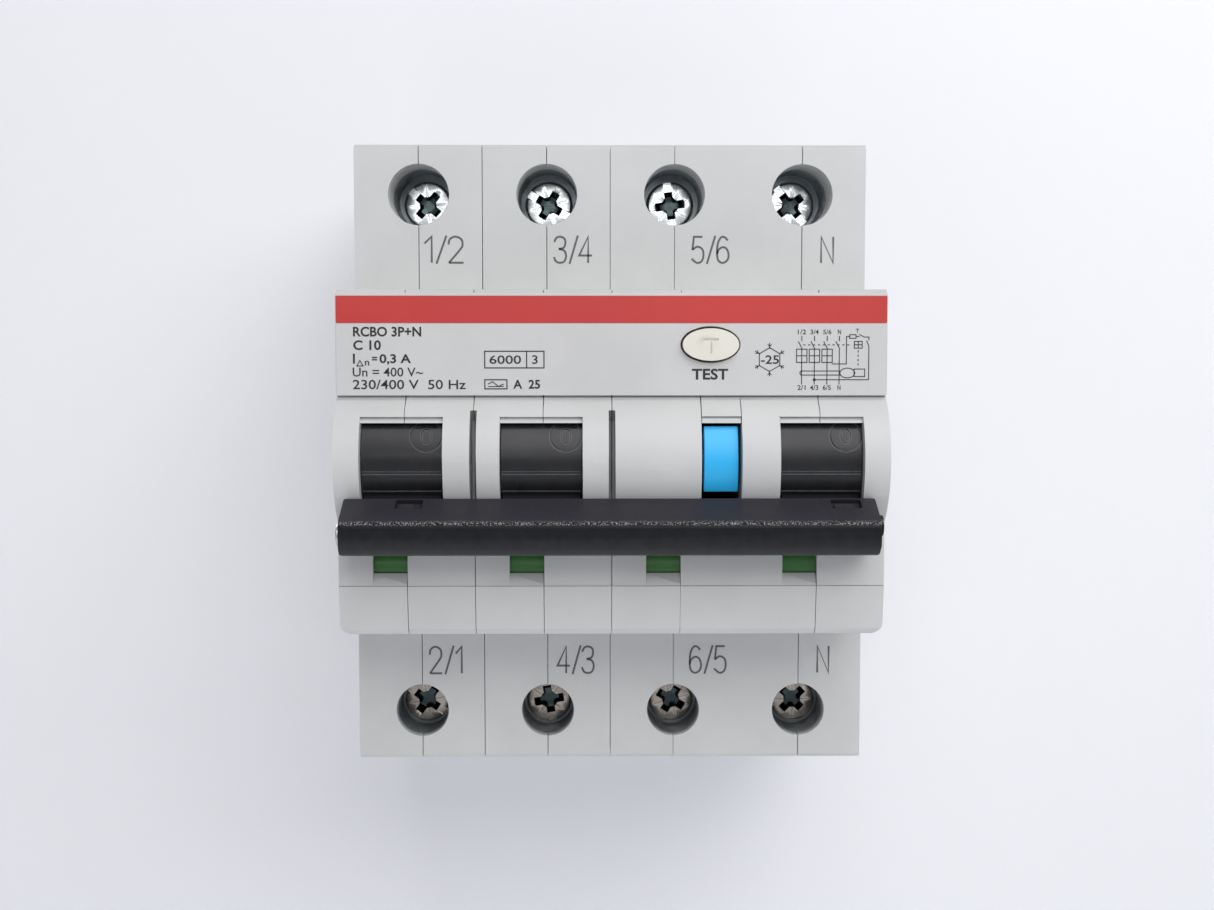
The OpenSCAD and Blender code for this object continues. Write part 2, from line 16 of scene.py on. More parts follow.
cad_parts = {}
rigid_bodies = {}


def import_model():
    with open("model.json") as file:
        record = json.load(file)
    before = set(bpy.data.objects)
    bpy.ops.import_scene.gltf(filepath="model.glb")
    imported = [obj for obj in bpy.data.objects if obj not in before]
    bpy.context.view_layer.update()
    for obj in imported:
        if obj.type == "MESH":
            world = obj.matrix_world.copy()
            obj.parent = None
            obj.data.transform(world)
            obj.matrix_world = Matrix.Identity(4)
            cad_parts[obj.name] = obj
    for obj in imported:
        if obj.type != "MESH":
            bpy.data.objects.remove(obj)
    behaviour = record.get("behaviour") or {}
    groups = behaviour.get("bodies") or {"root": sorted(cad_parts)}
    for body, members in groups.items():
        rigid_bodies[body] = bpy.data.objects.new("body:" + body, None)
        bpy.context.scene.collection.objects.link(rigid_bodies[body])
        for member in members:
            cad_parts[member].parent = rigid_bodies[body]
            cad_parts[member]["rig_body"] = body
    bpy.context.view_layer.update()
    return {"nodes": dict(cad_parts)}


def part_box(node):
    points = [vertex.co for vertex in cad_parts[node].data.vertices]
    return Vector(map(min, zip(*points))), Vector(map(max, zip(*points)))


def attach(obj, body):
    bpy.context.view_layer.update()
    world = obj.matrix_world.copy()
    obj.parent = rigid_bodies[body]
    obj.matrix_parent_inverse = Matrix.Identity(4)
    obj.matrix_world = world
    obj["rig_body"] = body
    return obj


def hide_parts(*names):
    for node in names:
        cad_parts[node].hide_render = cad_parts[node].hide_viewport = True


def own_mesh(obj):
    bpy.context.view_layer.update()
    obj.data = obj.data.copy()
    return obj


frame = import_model()
scene = bpy.context.scene
MM = 0.001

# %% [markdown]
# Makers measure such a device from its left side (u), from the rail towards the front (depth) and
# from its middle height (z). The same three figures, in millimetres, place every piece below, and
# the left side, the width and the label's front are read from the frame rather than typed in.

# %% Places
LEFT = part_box("case_1_left")[0].x / MM
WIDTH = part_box("case_4_right")[1].x / MM - LEFT
LABEL_FRONT = -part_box("label_plate")[0].y / MM
SHOULDER = 44.0
AXIS_DEPTH, AXIS_Z, DRUM_R = 54.3, 0.4, 8.6


def at(u, depth, z):
    """A point in the frame, in metres, from its three figures in millimetres."""
    return Vector((LEFT + u, -depth, z)) * MM


def centre(part):
    """Where the middle of a part is: u and z."""
    low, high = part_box(part)
    return (low.x + high.x) / 2 / MM - LEFT, (low.z + high.z) / 2 / MM


print("width", round(WIDTH, 2), "label front", round(LABEL_FRONT, 2))

# %% [markdown]
# A moulded surface is never perfectly even: it carries the fine texture of its mould, faint
# cloudiness, a little dust on what faces up and a lighter line where an edge is rubbed. Each of
# these effects is one node group, made once, with named inputs, so that every material can use it
# with its own values. All of them read object coordinates, which are the frame's metres, so a grain
# of 0.1 mm is a scale of about 10 000.


# %% Helpers for nodes
def node(tree, kind, inputs=(), **settings):
    """Adds a node, sets its properties, and fills its sockets with values or links."""
    made = tree.nodes.new(kind)
    for key, value in settings.items():
        setattr(made, key, value)
    for socket, value in dict(inputs).items():
        if isinstance(value, bpy.types.NodeSocket):
            tree.links.new(value, made.inputs[socket])
        else:
            made.inputs[socket].default_value = value
    return made


def effect(name, inputs, outputs):
    """An empty node group with its named sockets, and its two end nodes."""
    tree = bpy.data.node_groups.new(name, "ShaderNodeTree")
    for label, value in inputs.items():
        socket = tree.interface.new_socket(label, in_out="INPUT", socket_type="NodeSocketFloat")
        socket.default_value = value
    for label in outputs:
        tree.interface.new_socket(label, in_out="OUTPUT", socket_type="NodeSocketFloat")
    return tree, tree.nodes.new("NodeGroupInput"), tree.nodes.new("NodeGroupOutput")


def place_effect(tree, group, **values):
    """Puts an effect in a material, with that material's own values."""
    return node(tree, "ShaderNodeGroup", values, node_tree=group)


def object_place(tree):
    """The point that is shaded, in the frame's metres."""
    return node(tree, "ShaderNodeTexCoord").outputs["Object"]


def coordinate(tree, axis):
    """One of that point's three coordinates."""
    return node(tree, "ShaderNodeSeparateXYZ", {"Vector": object_place(tree)}).outputs[axis]


def noise(tree, place, scale, detail, roughness=0.5):
    """A noise between 0 and 1."""
    return node(tree, "ShaderNodeTexNoise", {"Vector": place, "Scale": scale, "Detail": detail,
                                             "Roughness": roughness}).outputs["Fac"]


def ranged(tree, value, low, high, to_low=0.0, to_high=1.0):
    """The value spread, and clamped, so that low becomes to_low and high becomes to_high."""
    return node(tree, "ShaderNodeMapRange", {"Value": value, "From Min": low, "From Max": high,
                                             "To Min": to_low, "To Max": to_high}).outputs["Result"]


def maths(tree, operation, *values):
    """A sum, a product or another operation on one, two or three values."""
    return node(tree, "ShaderNodeMath", enumerate(values), operation=operation).outputs[0]


# %% [markdown]
# The mould texture: a fine noise for the bump, and a broad, faint one for the cloudiness.

# %% Effect: mould texture
mould_texture, inside, outside = effect(
    "Mould texture", {"Fineness": 9000.0, "Patch size": 90.0}, ("Height", "Cloud")
)
where = object_place(mould_texture)
fine = noise(mould_texture, where, inside.outputs["Fineness"], 3.0, 0.6)
broad = noise(mould_texture, where, inside.outputs["Patch size"], 4.0, 0.55)
mould_texture.links.new(fine, outside.inputs["Height"])
mould_texture.links.new(ranged(mould_texture, broad, 0.35, 0.65), outside.inputs["Cloud"])

# %% [markdown]
# Rubbed edges and painted corner shade: the pointiness of the surface is high along an outer edge
# and low in a corner, so it gives one mask for the light, rubbed line and one for painted shade in
# the corners.

# %% Effect: edges and corners
edge_lines, inside, outside = effect("Edges and corners", {"Breakup": 700.0}, ("Rubbed", "Corner shade"))
pointed = node(edge_lines, "ShaderNodeNewGeometry").outputs["Pointiness"]
broken = noise(edge_lines, object_place(edge_lines), inside.outputs["Breakup"], 3.0)
rubbed = maths(edge_lines, "MULTIPLY", ranged(edge_lines, pointed, 0.52, 0.6), broken)
edge_lines.links.new(rubbed, outside.inputs["Rubbed"])
# The corner mask paints shade into the corners.
edge_lines.links.new(ranged(edge_lines, pointed, 0.48, 0.42), outside.inputs["Corner shade"])

# %% [markdown]
# Dust lies on what faces up and is missing from what faces down. The surface's own normal tells the
# two apart, and a noise keeps the film from looking like paint.

# %% Effect: dust
dust_film, inside, outside = effect("Dust film", {"Speckle": 2600.0}, ("Dust",))
facing = node(dust_film, "ShaderNodeSeparateXYZ",
              {"Vector": node(dust_film, "ShaderNodeNewGeometry").outputs["Normal"]})
speckle = noise(dust_film, object_place(dust_film), inside.outputs["Speckle"], 5.0)
film = maths(dust_film, "MULTIPLY", ranged(dust_film, facing.outputs["Z"], 0.3, 1.0), speckle)
dust_film.links.new(film, outside.inputs["Dust"])

# %% [markdown]
# Metal parts are drawn, turned or tumbled, which leaves fine lines and small dull spots. A noise
# stretched along one axis gives the lines, and a coarser one gives the spots of tarnish.

# %% Effect: metal lines
metal_lines, inside, outside = effect(
    "Metal lines", {"Fineness": 3000.0, "Spot size": 400.0}, ("Lines", "Tarnish")
)
where = object_place(metal_lines)
drawn = node(metal_lines, "ShaderNodeMapping", {"Vector": where, "Scale": (0.06, 1.0, 1.0)}).outputs[0]
lines = noise(metal_lines, drawn, inside.outputs["Fineness"], 4.0)
spots = noise(metal_lines, where, inside.outputs["Spot size"], 6.0, 0.65)
metal_lines.links.new(lines, outside.inputs["Lines"])
metal_lines.links.new(ranged(metal_lines, spots, 0.45, 0.7), outside.inputs["Tarnish"])
print("effects", [g.name for g in bpy.data.node_groups])

# %% [markdown]
# Most of the device is moulded plastic in one recipe: a colour that drifts by a few per cent with
# the cloudiness, darkened in corners by painted shade and lighter on edges, under a satin surface
# with a fine bump.


# %% Moulded plastics
BUMP_DEPTH = 0.02 * MM
WORN, DUSTY = (0.8, 0.8, 0.8), (0.62, 0.6, 0.57)


def mix(tree, factor, first, second):
    """A colour between two others, where factor and both colours may be sockets or values."""
    made = node(tree, "ShaderNodeMix", data_type="RGBA")
    for socket, value in ((made.inputs[0], factor), (made.inputs[6], first), (made.inputs[7], second)):
        if isinstance(value, bpy.types.NodeSocket):
            tree.links.new(value, socket)
        else:
            socket.default_value = value if isinstance(value, float) else (*value, 1.0)
    return made.outputs[2]


def tint(colour, by):
    return tuple(min(1.0, c * by) for c in colour)


def finish(tree, colour, roughness, height, bump):
    """Leads the three varying results into the material's own shader."""
    shader = tree.nodes["Principled BSDF"]
    relief = node(tree, "ShaderNodeBump", {"Height": height, "Strength": bump, "Distance": BUMP_DEPTH})
    tree.links.new(colour, shader.inputs["Base Color"])
    tree.links.new(roughness, shader.inputs["Roughness"])
    tree.links.new(relief.outputs["Normal"], shader.inputs["Normal"])


def plastic(name, colour, roughness, fineness=9000.0, bump=0.12, paint=None, dust=0.06, rub=0.12,
            shine=0.5):
    """A moulded plastic. paint(tree, colour) may return another colour socket, as for a print."""
    material = bpy.data.materials.new(name)
    material.use_nodes = True
    tree = material.node_tree
    tree.nodes["Principled BSDF"].inputs["Specular IOR Level"].default_value = shine
    skin = place_effect(tree, mould_texture, Fineness=fineness)
    lines = place_effect(tree, edge_lines)
    film = place_effect(tree, dust_film)
    ground = mix(tree, skin.outputs["Cloud"], tint(colour, 0.97), tint(colour, 1.03))
    if paint:
        ground = paint(tree, ground)
    # Painted shade darkens the corners; rubbed edges and dust lighten the colour.
    for mask, strength, over in ((lines.outputs["Corner shade"], 0.3, tint(colour, 0.45)),
                                 (lines.outputs["Rubbed"], rub, WORN), (film.outputs["Dust"], dust, DUSTY)):
        ground = mix(tree, maths(tree, "MULTIPLY", mask, strength), ground, over)
    rough = ranged(tree, skin.outputs["Cloud"], 0.0, 1.0, roughness - 0.04, roughness + 0.05)
    finish(tree, ground, rough, skin.outputs["Height"], bump)
    return material


housing_grey = plastic("Housing grey", (0.63, 0.635, 0.63), 0.46, bump=0.25)
label_satin = plastic("Label satin", (0.62, 0.62, 0.615), 0.38, 12000.0, 0.08)
band_red = plastic("Band red", (0.56, 0.04, 0.035), 0.4, 9000.0, 0.3, rub=0.0)
ink_dark = plastic("Ink dark", (0.02, 0.02, 0.024), 0.55, 12000.0, 0.08, dust=0.0, rub=0.0)
mark_grey = plastic("Mark grey", (0.12, 0.12, 0.125), 0.55, 12000.0, 0.08, dust=0.0, rub=0.0)
button_cream = plastic("Button cream", (0.80, 0.775, 0.69), 0.33, 7000.0, 0.05)
toggle_black = plastic("Toggle black", (0.009, 0.0095, 0.012), 0.27, 7000.0, 0.1, dust=0.01, rub=0.015,
                       shine=0.42)
# The beads' lighter grey is a painted highlight.
bead_highlight_grey = plastic("Bead painted highlight", (0.05, 0.051, 0.06), 0.3, 7000.0, 0.1, dust=0.0, rub=0.1)
flag_blue = plastic("Flag blue", (0.022, 0.52, 1.0), 0.35, 7000.0, 0.06, rub=0.04)
dark_plastic = plastic("Dark inner plastic", (0.05, 0.055, 0.06), 0.4, 6000.0, 0.2)
relay_white = plastic("Relay case", (0.6, 0.58, 0.52), 0.45, 6000.0, 0.2)
core_grey = plastic("Wound core", (0.1, 0.1, 0.11), 0.5, 3000.0, 0.5)

# %% [markdown]
# The tie bar is moulded in a spark-eroded tool. Its skin is a field of tiny craters, and along the
# upper edge, where light grazes it, single crater rims flash. Small bright cells near that edge are
# painted highlights that stand for those flashes. The slope above the edge is painted lighter, as
# painted light where it faces the lamp, and the foot is painted lighter as a painted reflection of
# its curve. The whole face has a coarser bump than the toggles.

# %% Tie bar's black
EDGE_Z, SLOPE_FROM, SLOPE_TO = -6.7 * MM, -7.0 * MM, -6.3 * MM
FOOT_FROM, FOOT_TO = -8.4 * MM, -10.6 * MM


def painted_highlights(tree, ground):
    """Painted highlights along the bar's upper edge, over a slope and a foot painted lighter as light."""
    height = coordinate(tree, "Z")
    # Painted light: the slope is lighter where it faces the lamp, and the foot is lighter as a painted
    # reflection.
    slope = ranged(tree, height, SLOPE_FROM, SLOPE_TO)
    ground = mix(tree, slope, ground, (0.028, 0.028, 0.036))
    ground = mix(tree, ranged(tree, height, FOOT_FROM, FOOT_TO), ground, (0.034, 0.034, 0.038))
    # Painted highlights: bright cells in a narrow strip along the edge.
    away = maths(tree, "ABSOLUTE", maths(tree, "SUBTRACT", height, EDGE_Z))
    near = ranged(tree, away, 0.34 * MM, 0.05 * MM)
    cells = node(tree, "ShaderNodeTexVoronoi", {"Vector": object_place(tree), "Scale": 5600.0})
    rims = ranged(tree, cells.outputs["Distance"], 0.45, 0.25)
    flash = maths(tree, "MULTIPLY", maths(tree, "MULTIPLY", near, rims), 0.9)
    return mix(tree, flash, ground, (0.5, 0.5, 0.52))


bar_black = plastic("Tie bar black", (0.0075, 0.008, 0.011), 0.42, 5200.0, 0.75, paint=painted_highlights, dust=0.02,
                    rub=0.03, shine=0.13)

# %% [markdown]
# The position drums are printed half green and half red. A quarter turn, which follows the handle,
# carries one colour out of the window and the other in. The border is an angle about the drum's
# own shaft, so the colours stay on the drum as it turns.

# %% Drum colours
shaft_low, shaft_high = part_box("indicator_shaft")
SHAFT_Y, SHAFT_Z = (shaft_low.y + shaft_high.y) / 2, (shaft_low.z + shaft_high.z) / 2


def green_and_red(tree, ground):
    """Green above the border angle, red below it."""
    up = maths(tree, "SUBTRACT", coordinate(tree, "Z"), SHAFT_Z)
    out = maths(tree, "SUBTRACT", SHAFT_Y, coordinate(tree, "Y"))
    angle = maths(tree, "ARCTAN2", up, out)
    border = ranged(tree, angle, math.radians(-14.2), math.radians(-13.8))
    return mix(tree, border, (0.5, 0.02, 0.02), (0.035, 0.19, 0.03))


drum_print = plastic("Drum print", (0.04, 0.2, 0.035), 0.33, 7000.0, 0.06, paint=green_and_red)
print("plastics", len([m for m in bpy.data.materials if m.node_tree]))

# %% [markdown]
# The metal parts differ in plating. The clamp screws are bright zinc with a faint blue cast, the
# sleeves round them are dark, the conductors are copper or brass, and the springs are drawn wire.
# All share one recipe, in which drawn lines and spots of tarnish change the roughness and colour.


# %% Metals
def metal(name, colour, dull, roughness, bump=0.1, paint=None):
    """A plated or bare metal that drifts towards the dull colour in its spots, with painted shade in its
    corners.
    """
    material = bpy.data.materials.new(name)
    material.use_nodes = True
    tree = material.node_tree
    tree.nodes["Principled BSDF"].inputs["Metallic"].default_value = 1.0
    marks = place_effect(tree, metal_lines)
    lines = place_effect(tree, edge_lines)
    # Painted shade: corners turn towards a dark tint of the dull colour.
    for mask, over in ((marks.outputs["Tarnish"], dull), (lines.outputs["Corner shade"], tint(dull, 0.4))):
        colour = mix(tree, maths(tree, "MULTIPLY", mask, 0.5), colour, over)
    if paint:
        colour = paint(tree, colour)
    rough = ranged(tree, marks.outputs["Tarnish"], 0.0, 1.0, roughness, roughness + 0.16)
    finish(tree, colour, rough, marks.outputs["Lines"], bump)
    return material


zinc_bright = metal("Zinc bright", (0.74, 0.77, 0.79), (0.42, 0.45, 0.46), 0.2, 0.35)
sleeve_dark = metal("Sleeve dark", (0.3, 0.33, 0.35), (0.12, 0.13, 0.14), 0.3, 0.2)
steel_ground = metal("Steel ground", (0.62, 0.61, 0.6), (0.4, 0.39, 0.38), 0.24)
spring_wire = metal("Spring wire", (0.52, 0.52, 0.52), (0.3, 0.29, 0.28), 0.28, 0.15)
copper_bare = metal("Copper bare", (0.84, 0.46, 0.3), (0.4, 0.2, 0.13), 0.28)
copper_wire = metal("Copper wire", (0.72, 0.33, 0.16), (0.45, 0.18, 0.08), 0.22, 0.05)
plated_strip = metal("Plated strip", (0.8, 0.72, 0.48), (0.5, 0.42, 0.24), 0.27)
chute_plate = metal("Chute plate", (0.34, 0.34, 0.35), (0.2, 0.19, 0.18), 0.45, 0.3)

# %% [markdown]
# The heads of the clamp screws are bright, and the bottom of their recesses is painted dark and a
# little green, as painted shade. The lower row is a darker, warm grey. How deep a point lies below
# the head's face decides between the two colours.


# %% Screw metals
def painted_shade_below(face, shade):
    """Paints shade a little way below the face, both in millimetres of depth."""

    def paint(tree, ground):
        # Painted shade: the recess below the head's face turns dark.
        deep = ranged(tree, coordinate(tree, "Y"), (0.4 - face) * MM, (0.6 - face) * MM)
        return mix(tree, deep, ground, shade)

    return paint


SCREW_METAL = {}
for row, colour, dull in (("top", (0.88, 0.91, 0.92), (0.5, 0.54, 0.55)),
                          ("bottom", (0.56, 0.5, 0.44), (0.24, 0.21, 0.18))):
    face = -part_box(f"screw_{row}_1")[0].y / MM
    SCREW_METAL[row] = metal("Screw zinc " + row, colour, dull, 0.17, 0.3,
                             paint=painted_shade_below(face, (0.06, 0.08, 0.082)))

# %% [markdown]
# The test resistor is a lacquered rod with painted bands, which tell its value. The bands are cut
# from the position along the rod.

# %% Resistor's bands
resistor_low, resistor_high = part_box("test_resistor")


def bands(tree, ground):
    """Four painted rings along the rod."""
    along = coordinate(tree, "X")
    for share, colour in ((0.28, (0.3, 0.12, 0.04)), (0.42, (0.02, 0.02, 0.02)), (0.56, (0.6, 0.05, 0.03)),
                          (0.75, (0.55, 0.38, 0.08))):
        middle = resistor_low.x + share * (resistor_high.x - resistor_low.x)
        ground = mix(tree, maths(tree, "COMPARE", along, middle, 0.3 * MM), ground, colour)
    return ground


resistor_lacquer = plastic("Resistor lacquer", (0.55, 0.4, 0.24), 0.3, 5000.0, 0.1, paint=bands)
print("materials", len(bpy.data.materials))

# %% [markdown]
# The design's edges are mathematically sharp, and sharp edges look like a drawing: no real moulding
# catches light that way. Each visible part is copied, its flat triangles are joined into whole
# faces, and every edge that has room takes a small radius. An edge has room when both faces beside
# it run on for more than twice the radius before they meet another edge, and when no short edge
# ends at it. The work is done in millimetres, since such small offsets in metres would be lost in
# rounding.


# %% Where an edge has room
SHARP, FAR = math.radians(28.0), 9.0
ROOM, SHORT = 2.3, 1.2


def room_beside(loop, enough):
    """How far a face runs on from one of its edges, up to enough."""
    start, end = loop.vert.co, loop.link_loop_next.vert.co
    along = (end - start).normalized()
    inward = loop.face.normal.cross(along)
    length, nearest = (end - start).length, enough
    for other in loop.face.edges:
        if other is loop.edge:
            continue
        p, q = (((v.co - start).dot(along), (v.co - start).dot(inward)) for v in other.verts)
        if p[0] > q[0]:
            p, q = q, p
        low, high = max(p[0], 0.01), min(q[0], length - 0.01)
        if high <= low:
            continue
        slope = (q[1] - p[1]) / (q[0] - p[0])
        for x in (low, high):
            y = p[1] + slope * (x - p[0])
            if y > -1e-4:
                nearest = min(nearest, y)
    return nearest


def has_room(edge, radius):
    """True for a sharp edge that a radius fits on."""
    if len(edge.link_faces) != 2 or edge.calc_face_angle(0.0) < SHARP:
        return False
    for end in edge.verts:
        way = (edge.other_vert(end).co - end.co).normalized()
        for other in end.link_edges:
            turn = abs(way.dot((other.other_vert(end).co - end.co).normalized()))
            if other is not edge and turn < 0.9 and other.calc_length() < SHORT * radius:
                return False
    return all(room_beside(loop, FAR) > ROOM * radius for loop in edge.link_loops)


# %% [markdown]
# After the radii are made, every triangle of the copy is compared with the design's surface. Where
# one lies further away than a radius can explain, the edges around it are left sharp, and the copy
# is made again. Drums are shaded as the true cylinders that their facets stand for.


# %% Rounded copies of the design's parts
ATTEMPTS, REACH, ALLOWED = 9, 1.6, 1.2


def true_round(mesh, depth, z, radius):
    """Shades the facets of a drum as the exact cylinder that they stand for."""
    normals = [Vector(n.vector) for n in mesh.corner_normals]
    for polygon in mesh.polygons:
        for corner in polygon.loop_indices:
            out = mesh.vertices[mesh.loops[corner].vertex_index].co - at(0, depth, z)
            out.x = 0.0
            if abs(out.length / MM - radius) < 0.03 and polygon.normal.dot(out.normalized()) > 0.99:
                normals[corner] = out.normalized()
    mesh.normals_split_custom_set(normals)


def linked(name, bm, material):
    """The mesh as an object of the scene."""
    mesh = bpy.data.meshes.new(name)
    bm.to_mesh(mesh)
    bm.free()
    mesh.materials.append(material)
    made = bpy.data.objects.new(name, mesh)
    scene.collection.objects.link(made)
    return made


def make_piece(name, bm, material, body, crease=50.0, drum=None):
    """A finished mesh as a smooth-shaded piece that rides on a body."""
    bmesh.ops.recalc_face_normals(bm, faces=bm.faces)
    for face in bm.faces:
        face.smooth = True
    for edge in bm.edges:
        edge.smooth = edge.calc_face_angle(math.pi) < math.radians(crease)
    piece = linked(name, bm, material)
    if drum:
        true_round(piece.data, *drum)
    else:
        shading = piece.modifiers.new("Even shading", "WEIGHTED_NORMAL")
        shading.keep_sharp = True
    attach(piece, body)
    return piece


def astray(bm, surface, limit):
    """Centres of the triangles that lie further from the surface than the limit."""
    check = bm.copy()
    bmesh.ops.triangulate(check, faces=check.faces)
    centres = [f.calc_center_median() for f in check.faces if f.calc_area() > 1e-4]
    check.free()
    return [c for c in centres if surface.find_nearest(c)[3] > limit]


def distance_to(point, edge):
    """Distance from a point to an edge."""
    a, b = edge.verts[0].co, edge.verts[1].co
    share = max(0.0, min(1.0, (point - a).dot(b - a) / max(1e-9, (b - a).length_squared)))
    return (a.lerp(b, share) - point).length


def with_radii(base, radius):
    """A copy of the base mesh with a radius on every edge that has room."""
    surface = BVHTree.FromBMesh(base)
    left_sharp = []
    for attempt in range(ATTEMPTS):
        bm = base.copy()
        chosen = [e for e in bm.edges
                  if has_room(e, radius) and all(distance_to(spot, e) > REACH for spot in left_sharp)]
        if chosen:
            bmesh.ops.bevel(bm, geom=chosen, offset=radius, segments=2, profile=0.5, affect="EDGES",
                            clamp_overlap=False)
        spots = astray(bm, surface, ALLOWED * radius)
        if not spots or attempt == ATTEMPTS - 1:
            return bm, len(chosen), len(spots)
        left_sharp += spots[::max(1, len(spots) // 40)]
        bm.free()


def in_mm(bm):
    """A mesh in metres, scaled to millimetres."""
    bmesh.ops.scale(bm, vec=(1 / MM,) * 3, verts=bm.verts)
    return bm


def design_mesh(part):
    """The design's part as a mesh of whole flat faces, in millimetres."""
    bm = bmesh.new()
    bm.from_mesh(frame["nodes"][part].data)
    in_mm(bm)
    bmesh.ops.remove_doubles(bm, verts=bm.verts, dist=0.003)
    bmesh.ops.dissolve_limit(bm, angle_limit=math.radians(0.4), verts=bm.verts, edges=bm.edges)
    return bm


def rounded(label, part, material, radius=0.1, base=None, drum=None):
    """A copy of a design part with small radii, which is shown instead of it."""
    base = base or design_mesh(part)
    bm, count, stray = with_radii(base, radius) if radius else (base.copy(), 0, 0)
    base.free()
    bmesh.ops.scale(bm, vec=(MM,) * 3, verts=bm.verts)
    piece = make_piece(label, bm, material, frame["nodes"][part]["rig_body"], drum=drum)
    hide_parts(part)
    print(label, "edges rounded", count, "triangles astray", stray)
    return piece


# %% [markdown]
# Some lines are cut into a moulding, and others are printed on it. Both are ribbons here: a path of
# points widened to both sides, which a placing function lays on a flat front or wraps round a drum.
# For a cut line, the ribbon is taken out of the part.


# %% Ribbons and cuts
INK = 0.03


def flat_on(depth):
    """Places ribbon points on a flat front at this depth."""
    return lambda u, z, lift: at(u, depth + lift, z)


def around(axis_depth, axis_z, radius):
    """Places ribbon points on a drum, where z is measured along its surface from the front."""

    def put(u, z, lift):
        turn = z / radius
        return at(u, axis_depth + (radius + lift) * math.cos(turn), axis_z + (radius + lift) * math.sin(turn))

    return put


def ribbon(bm, path, width, put, thickness=INK, closed=False):
    """A flat line along path, a list of (u, z), as far above the surface as below it."""
    points = [Vector(p) for p in path]
    count = len(points)
    rows = []
    for i, p in enumerate(points):
        before = points[i - 1] if (i or closed) else None
        after = points[(i + 1) % count] if (i < count - 1 or closed) else None
        into = (p - before).normalized() if before is not None else (after - p).normalized()
        out = (after - p).normalized() if after is not None else into
        along = (into + out).normalized() if (into + out).length > 1e-6 else into
        side = Vector((-along.y, along.x)) * width / 2 / max(0.5, along.dot(into))
        rows.append([bm.verts.new(put(q.x, q.y, lift))
                     for q, lift in ((p + side, -thickness), (p - side, -thickness), (p - side, thickness),
                                     (p + side, thickness))])
    for i in range(count if closed else count - 1):
        here, there = rows[i], rows[(i + 1) % count]
        for j in range(4):
            bm.faces.new((here[j], here[(j + 1) % 4], there[(j + 1) % 4], there[j]))
    if not closed:
        bm.faces.new(rows[0][::-1])
        bm.faces.new(rows[-1])


def oval(u, z, half_u, half_z, steps):
    """A closed path round a circle or an ellipse."""
    turns = [k * math.pi / (steps / 2) for k in range(steps)]
    return [(u + half_u * math.cos(turn), z + half_z * math.sin(turn)) for turn in turns]


def carved(solid, cutter):
    """A mesh in millimetres with a mesh in metres taken out of it. Both are used up."""
    pair = []
    for bm in (solid, in_mm(cutter)):
        bmesh.ops.recalc_face_normals(bm, faces=bm.faces)
        mesh = bpy.data.meshes.new("carving")
        bm.to_mesh(mesh)
        bm.free()
        pair.append(bpy.data.objects.new("carving", mesh))
        scene.collection.objects.link(pair[-1])
    cut = pair[0].modifiers.new("Cut", "BOOLEAN")
    cut.operation, cut.solver, cut.use_self, cut.object = "DIFFERENCE", "EXACT", True, pair[1]
    bpy.context.view_layer.update()
    whole = pair[0].evaluated_get(bpy.context.evaluated_depsgraph_get())
    result = bmesh.new()
    result.from_mesh(whole.to_mesh())
    whole.to_mesh_clear()
    for made in pair:
        mesh = made.data
        bpy.data.objects.remove(made)
        bpy.data.meshes.remove(mesh)
    return result


# %% [markdown]
# The shells meet side by side, and a thin dark line shows at every meeting, because two mouldings
# never touch along their whole edge. Each side that meets a neighbour is drawn back by a few
# hundredths of a millimetre, which leaves a narrow, deep and therefore dark gap. A fine groove runs
# across all the shells under the label plate, and it is cut before the edges are rounded.

# %% Housing shells
SEAM_GAP, NEAR = 0.04, 0.003
GROOVE_Z, GROOVE_WIDTH, GROOVE_DEPTH = 8.6, 0.17, 60.7
SHELLS = ("case_1_left", "case_1_right", "case_2_left", "case_2_right", "case_3_left",
          "case_34_middle", "case_4_right")
for shell in SHELLS:
    low, high = (corner.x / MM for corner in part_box(shell))
    base = design_mesh(shell)
    for v in base.verts:
        if abs(v.co.x - low) < NEAR and low > LEFT + 0.01:
            v.co.x += SEAM_GAP
        elif abs(v.co.x - high) < NEAR and high < LEFT + WIDTH - 0.01:
            v.co.x -= SEAM_GAP
    groove = bmesh.new()
    ribbon(groove, [(-1.0, GROOVE_Z), (WIDTH + 1.0, GROOVE_Z)], GROOVE_WIDTH, flat_on(GROOVE_DEPTH), 0.6)
    rounded("housing_" + shell.removeprefix("case_"), shell, housing_grey, radius=0.09,
            base=carved(base, groove))
rounded("label_carrier", "label_plate", label_satin)

# %% [markdown]
# The bar is pushed by a finger, so its mould has a larger radius than the housing's. The pin's end
# shows at the bar's left. The flag and the position drums turn behind their windows.

# %% Moving parts at the front
FLAG_R, POSITION_R = 8.8, 4.2
rounded("handle_bar", "tie_bar", bar_black, radius=0.25)
rounded("handle_bar_pin", "tie_bar_pin", steel_ground, radius=0.15)
rounded("blue_flag", "fault_flag", flag_blue, radius=0.12, drum=(AXIS_DEPTH, AXIS_Z, FLAG_R))
rounded("position_drums", "position_indicators", drum_print, radius=0.1,
        drum=(-SHAFT_Y / MM, SHAFT_Z / MM, POSITION_R))

# %% [markdown]
# The test button has a T cut in its face. Each drum has an O, which stands for OFF, in the ring that
# its mould leaves, and an I for ON lower down, which comes into the window when the handle is up.

